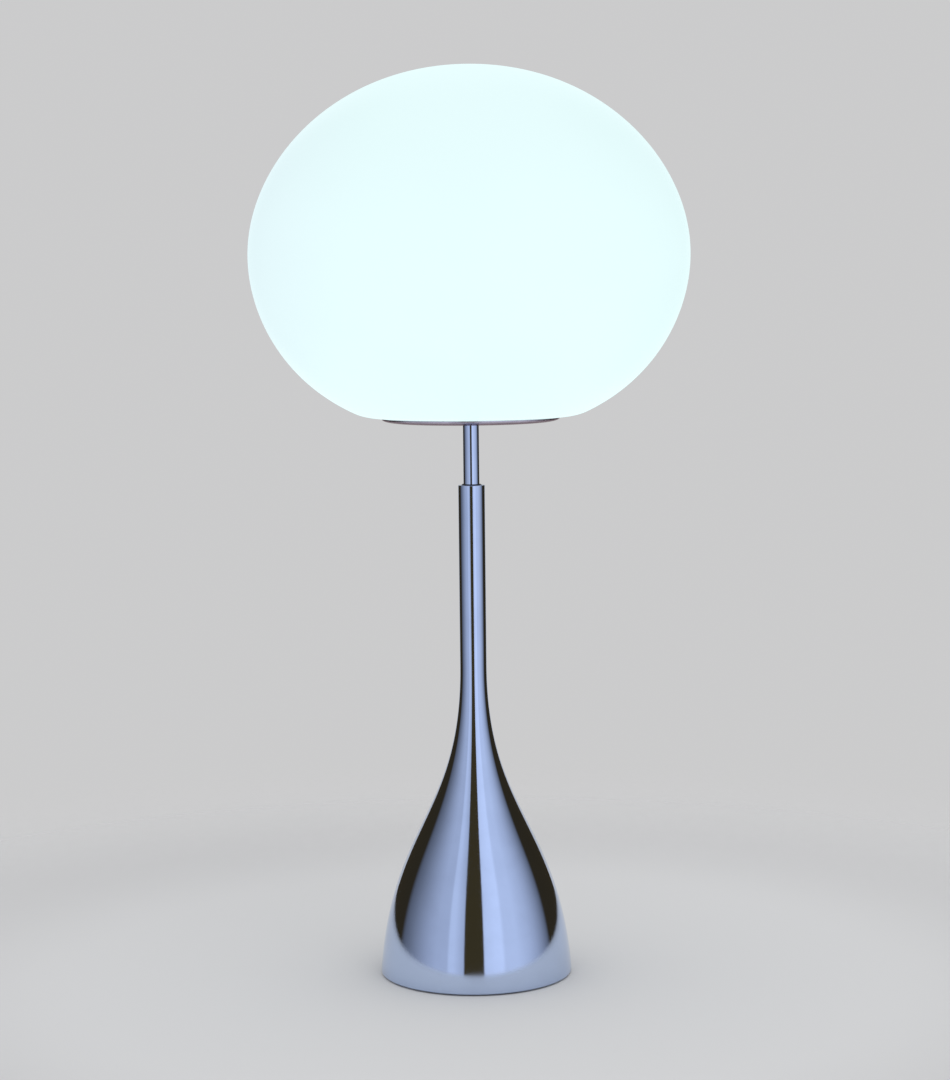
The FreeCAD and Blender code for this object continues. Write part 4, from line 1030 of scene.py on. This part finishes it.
class LAMP_OT_stage(Operator):
    """Set the floor, the pale surroundings, the soft light, the tent for the reflections and the camera"""

    bl_idname = "lamp.stage"
    bl_label = "Studio"

    def floor(self, studio):
        """Flat disc that the pad stands on and that thins out into the background."""
        reach, rings, thickness = 3.5, 60, 0.01
        profile = np.stack([np.r_[np.linspace(0.0, reach, rings), reach, 0.0],
                            np.r_[np.zeros(rings), -thickness, -thickness]], axis=-1)
        mesh = mesh_of("studio_floor", swept(profile, 128))
        made = new_finish("studio floor")
        spread = made.radius().between(0.3, 0.9)
        grain = made.noise(0.004)
        paper = made.node("ShaderNodeBsdfPrincipled", None,
                          {"Base Color": tuple(studio.floor), "Roughness": 0.9, "Specular IOR Level": 0.1,
                           "Normal": made.bump(grain, 0.00005, 0.1)})
        nothing = made.node("ShaderNodeBsdfTransparent")
        surface = made.node("ShaderNodeMixShader", None, {0: spread, 1: paper, 2: nothing})
        made.node("ShaderNodeOutputMaterial", None, {"Surface": surface})
        mesh.materials.append(made.owner)
        disc = placed("studio_floor", mesh)

    def surroundings(self, studio):
        """Pale backdrop for what looks at it, even light for the rest."""
        made = Finish(bpy.context.scene.world or bpy.data.worlds.new("studio"))
        bpy.context.scene.world = made.owner
        path = made.node("ShaderNodeLightPath").socket.node.outputs
        seen = Value(made, path["Is Camera Ray"]) + Value(made, path["Is Glossy Ray"])
        seen = (seen + Value(made, path["Is Transmission Ray"])).math("MINIMUM", 1.0)
        shown = seen.mix((studio.level, studio.level, studio.level * 1.01), tuple(studio.backdrop))
        light = made.node("ShaderNodeBackground", None, {"Color": shown, "Strength": 1.0})
        made.node("ShaderNodeOutputWorld", None, {"Surface": light})

    def lamp(self, studio):
        """Soft overhead lamp, which mirrors don't show."""
        light = bpy.data.lights.new("soft_overhead", "AREA")
        light.shape, light.size, light.size_y, light.energy = "RECTANGLE", 1.6, 1.2, studio.key
        made = placed("soft_overhead", light)
        made.location = (0.7, -1.3, 2.3)
        made.rotation_euler = (Vector((0.0, 0.0, 0.3)) - made.location).to_track_quat("-Z", "Y").to_euler()
        made.visible_glossy = False

    def tent(self, studio):
        """White walls and dark gaps round the lamp, as a tall open ring that only reflections show.
        A wall at an angle and a height: 3.2 m times sine and cosine of the angle from the camera's side."""
        angle = np.radians(np.linspace(-152.0, 152.0, 305))[:, None]
        radius = np.array([3.2, 3.22])
        across, ahead = radius * np.sin(angle), -radius * np.cos(angle)
        lower, upper = (np.stack([across, ahead, np.full_like(across, height)], axis=-1)
                        for height in (-3.0, 5.2))
        ring = np.stack([lower[:, 0], lower[:, 1], upper[:, 1], upper[:, 0]], axis=1)
        quads = quads_between(*ring.shape[:2])
        mesh = bpy.data.meshes.new("white_tent")
        mesh.from_pydata(ring.reshape(-1, 3).tolist(), [], quads.tolist())
        made = new_finish("tent cloth")
        x, y, _ = made.axes()
        turn = x.math("ARCTAN2", -y) / (2 * math.pi) + 0.5
        gap = (0.066, 0.044, 0.015)
        dark = (0.042, 0.029, 0.013)
        walls = ((-109, dark), (-102, 0.15), (-90, 0.24), (-80, 0.33), (-70, 0.43), (-60, 0.53), (-50, 0.61),
                 (-36, 0.63), (-33.5, 0.80), (-28, 0.80), (-15.6, 0.60), (-14.2, gap), (8.6, gap), (10, 0.87),
                 (24, 0.96), (32, 0.98), (36, 0.82), (52, 0.81), (70, 0.66), (80, 0.53), (90, 0.37),
                 (100, 0.19), (105, dark))
        stops = [(place / 360 + 0.5, strength) for place, strength in walls]
        shade = made.node("ShaderNodeValToRGB", {"stops": stops}, {"Fac": turn})
        cool = made.node("ShaderNodeMix", {"data_type": "RGBA", "blend_type": "MULTIPLY"},
                         {0: 1.0, 6: shade, 7: (0.94, 1.0, 1.18)}, output=2)
        glow = made.node("ShaderNodeEmission", None, {"Color": cool, "Strength": studio.tent})
        made.node("ShaderNodeOutputMaterial", None, {"Surface": glow})
        mesh.materials.append(made.owner)
        ring_object = placed("white_tent", mesh)
        for ray in ("camera", "diffuse", "transmission", "shadow"):
            setattr(ring_object, f"visible_{ray}", False)

    def camera(self, studio):
        """Camera at the photograph's place: aimed down a little and rolled a little."""
        lens = bpy.data.cameras.new("camera")
        lens.lens = studio.lens
        lens.sensor_width = 36.0
        made = placed("camera", lens)
        eye = Vector((studio.aim_side, -studio.distance, studio.height))
        aim = Vector((studio.aim_side, 0.0, studio.aim))
        turn = (aim - eye).to_track_quat("-Z", "Y").to_matrix().to_4x4()
        made.matrix_world = Matrix.Translation(eye) @ turn @ Matrix.Rotation(-studio.roll, 4, "Z")
        bpy.context.scene.camera = made

    def execute(self, context):
        studio = settings("lamp_studio")
        context.scene.view_settings.view_transform = "Standard"
        self.floor(studio)
        self.surroundings(studio)
        self.lamp(studio)
        self.tent(studio)
        self.camera(studio)
        return {"FINISHED"}


STEPS = (
    LAMP_OT_finishes,
    LAMP_OT_stage,
    LAMP_OT_foot,
    LAMP_OT_tube,
    LAMP_OT_saucer,
    LAMP_OT_gasket,
    LAMP_OT_globe,
    LAMP_OT_rivets,
    LAMP_OT_holder,
    LAMP_OT_bulb,
    LAMP_OT_inlet,
    LAMP_OT_pad,
)


class LAMP_PT_sidebar(Panel):
    """Lamp tab in the 3D view"""

    bl_label = "Glass Globe Table Lamp"
    bl_idname = "LAMP_PT_sidebar"
    bl_space_type = "VIEW_3D"
    bl_region_type = "UI"
    bl_category = "Lamp"

    def draw(self, context):
        for step in STEPS:
            self.layout.operator(step.bl_idname)
        for name, group in GROUPS.items():
            box = self.layout.box()
            box.label(text=group.__doc__)
            for item in group.__annotations__:
                box.prop(getattr(context.scene, name), item)


def register():
    for group in (*GROUPS.values(), *STEPS, LAMP_PT_sidebar):
        bpy.utils.register_class(group)
    for name, group in GROUPS.items():
        setattr(bpy.types.Scene, name, PointerProperty(type=group))


def unregister():
    for name in GROUPS:
        delattr(bpy.types.Scene, name)
    for group in reversed((*GROUPS.values(), *STEPS, LAMP_PT_sidebar)):
        bpy.utils.unregister_class(group)


def main():
    register()
    for step in STEPS:
        family, name = step.bl_idname.split(".")
        getattr(getattr(bpy.ops, family), name)()


if __name__ == "__main__":
    main()
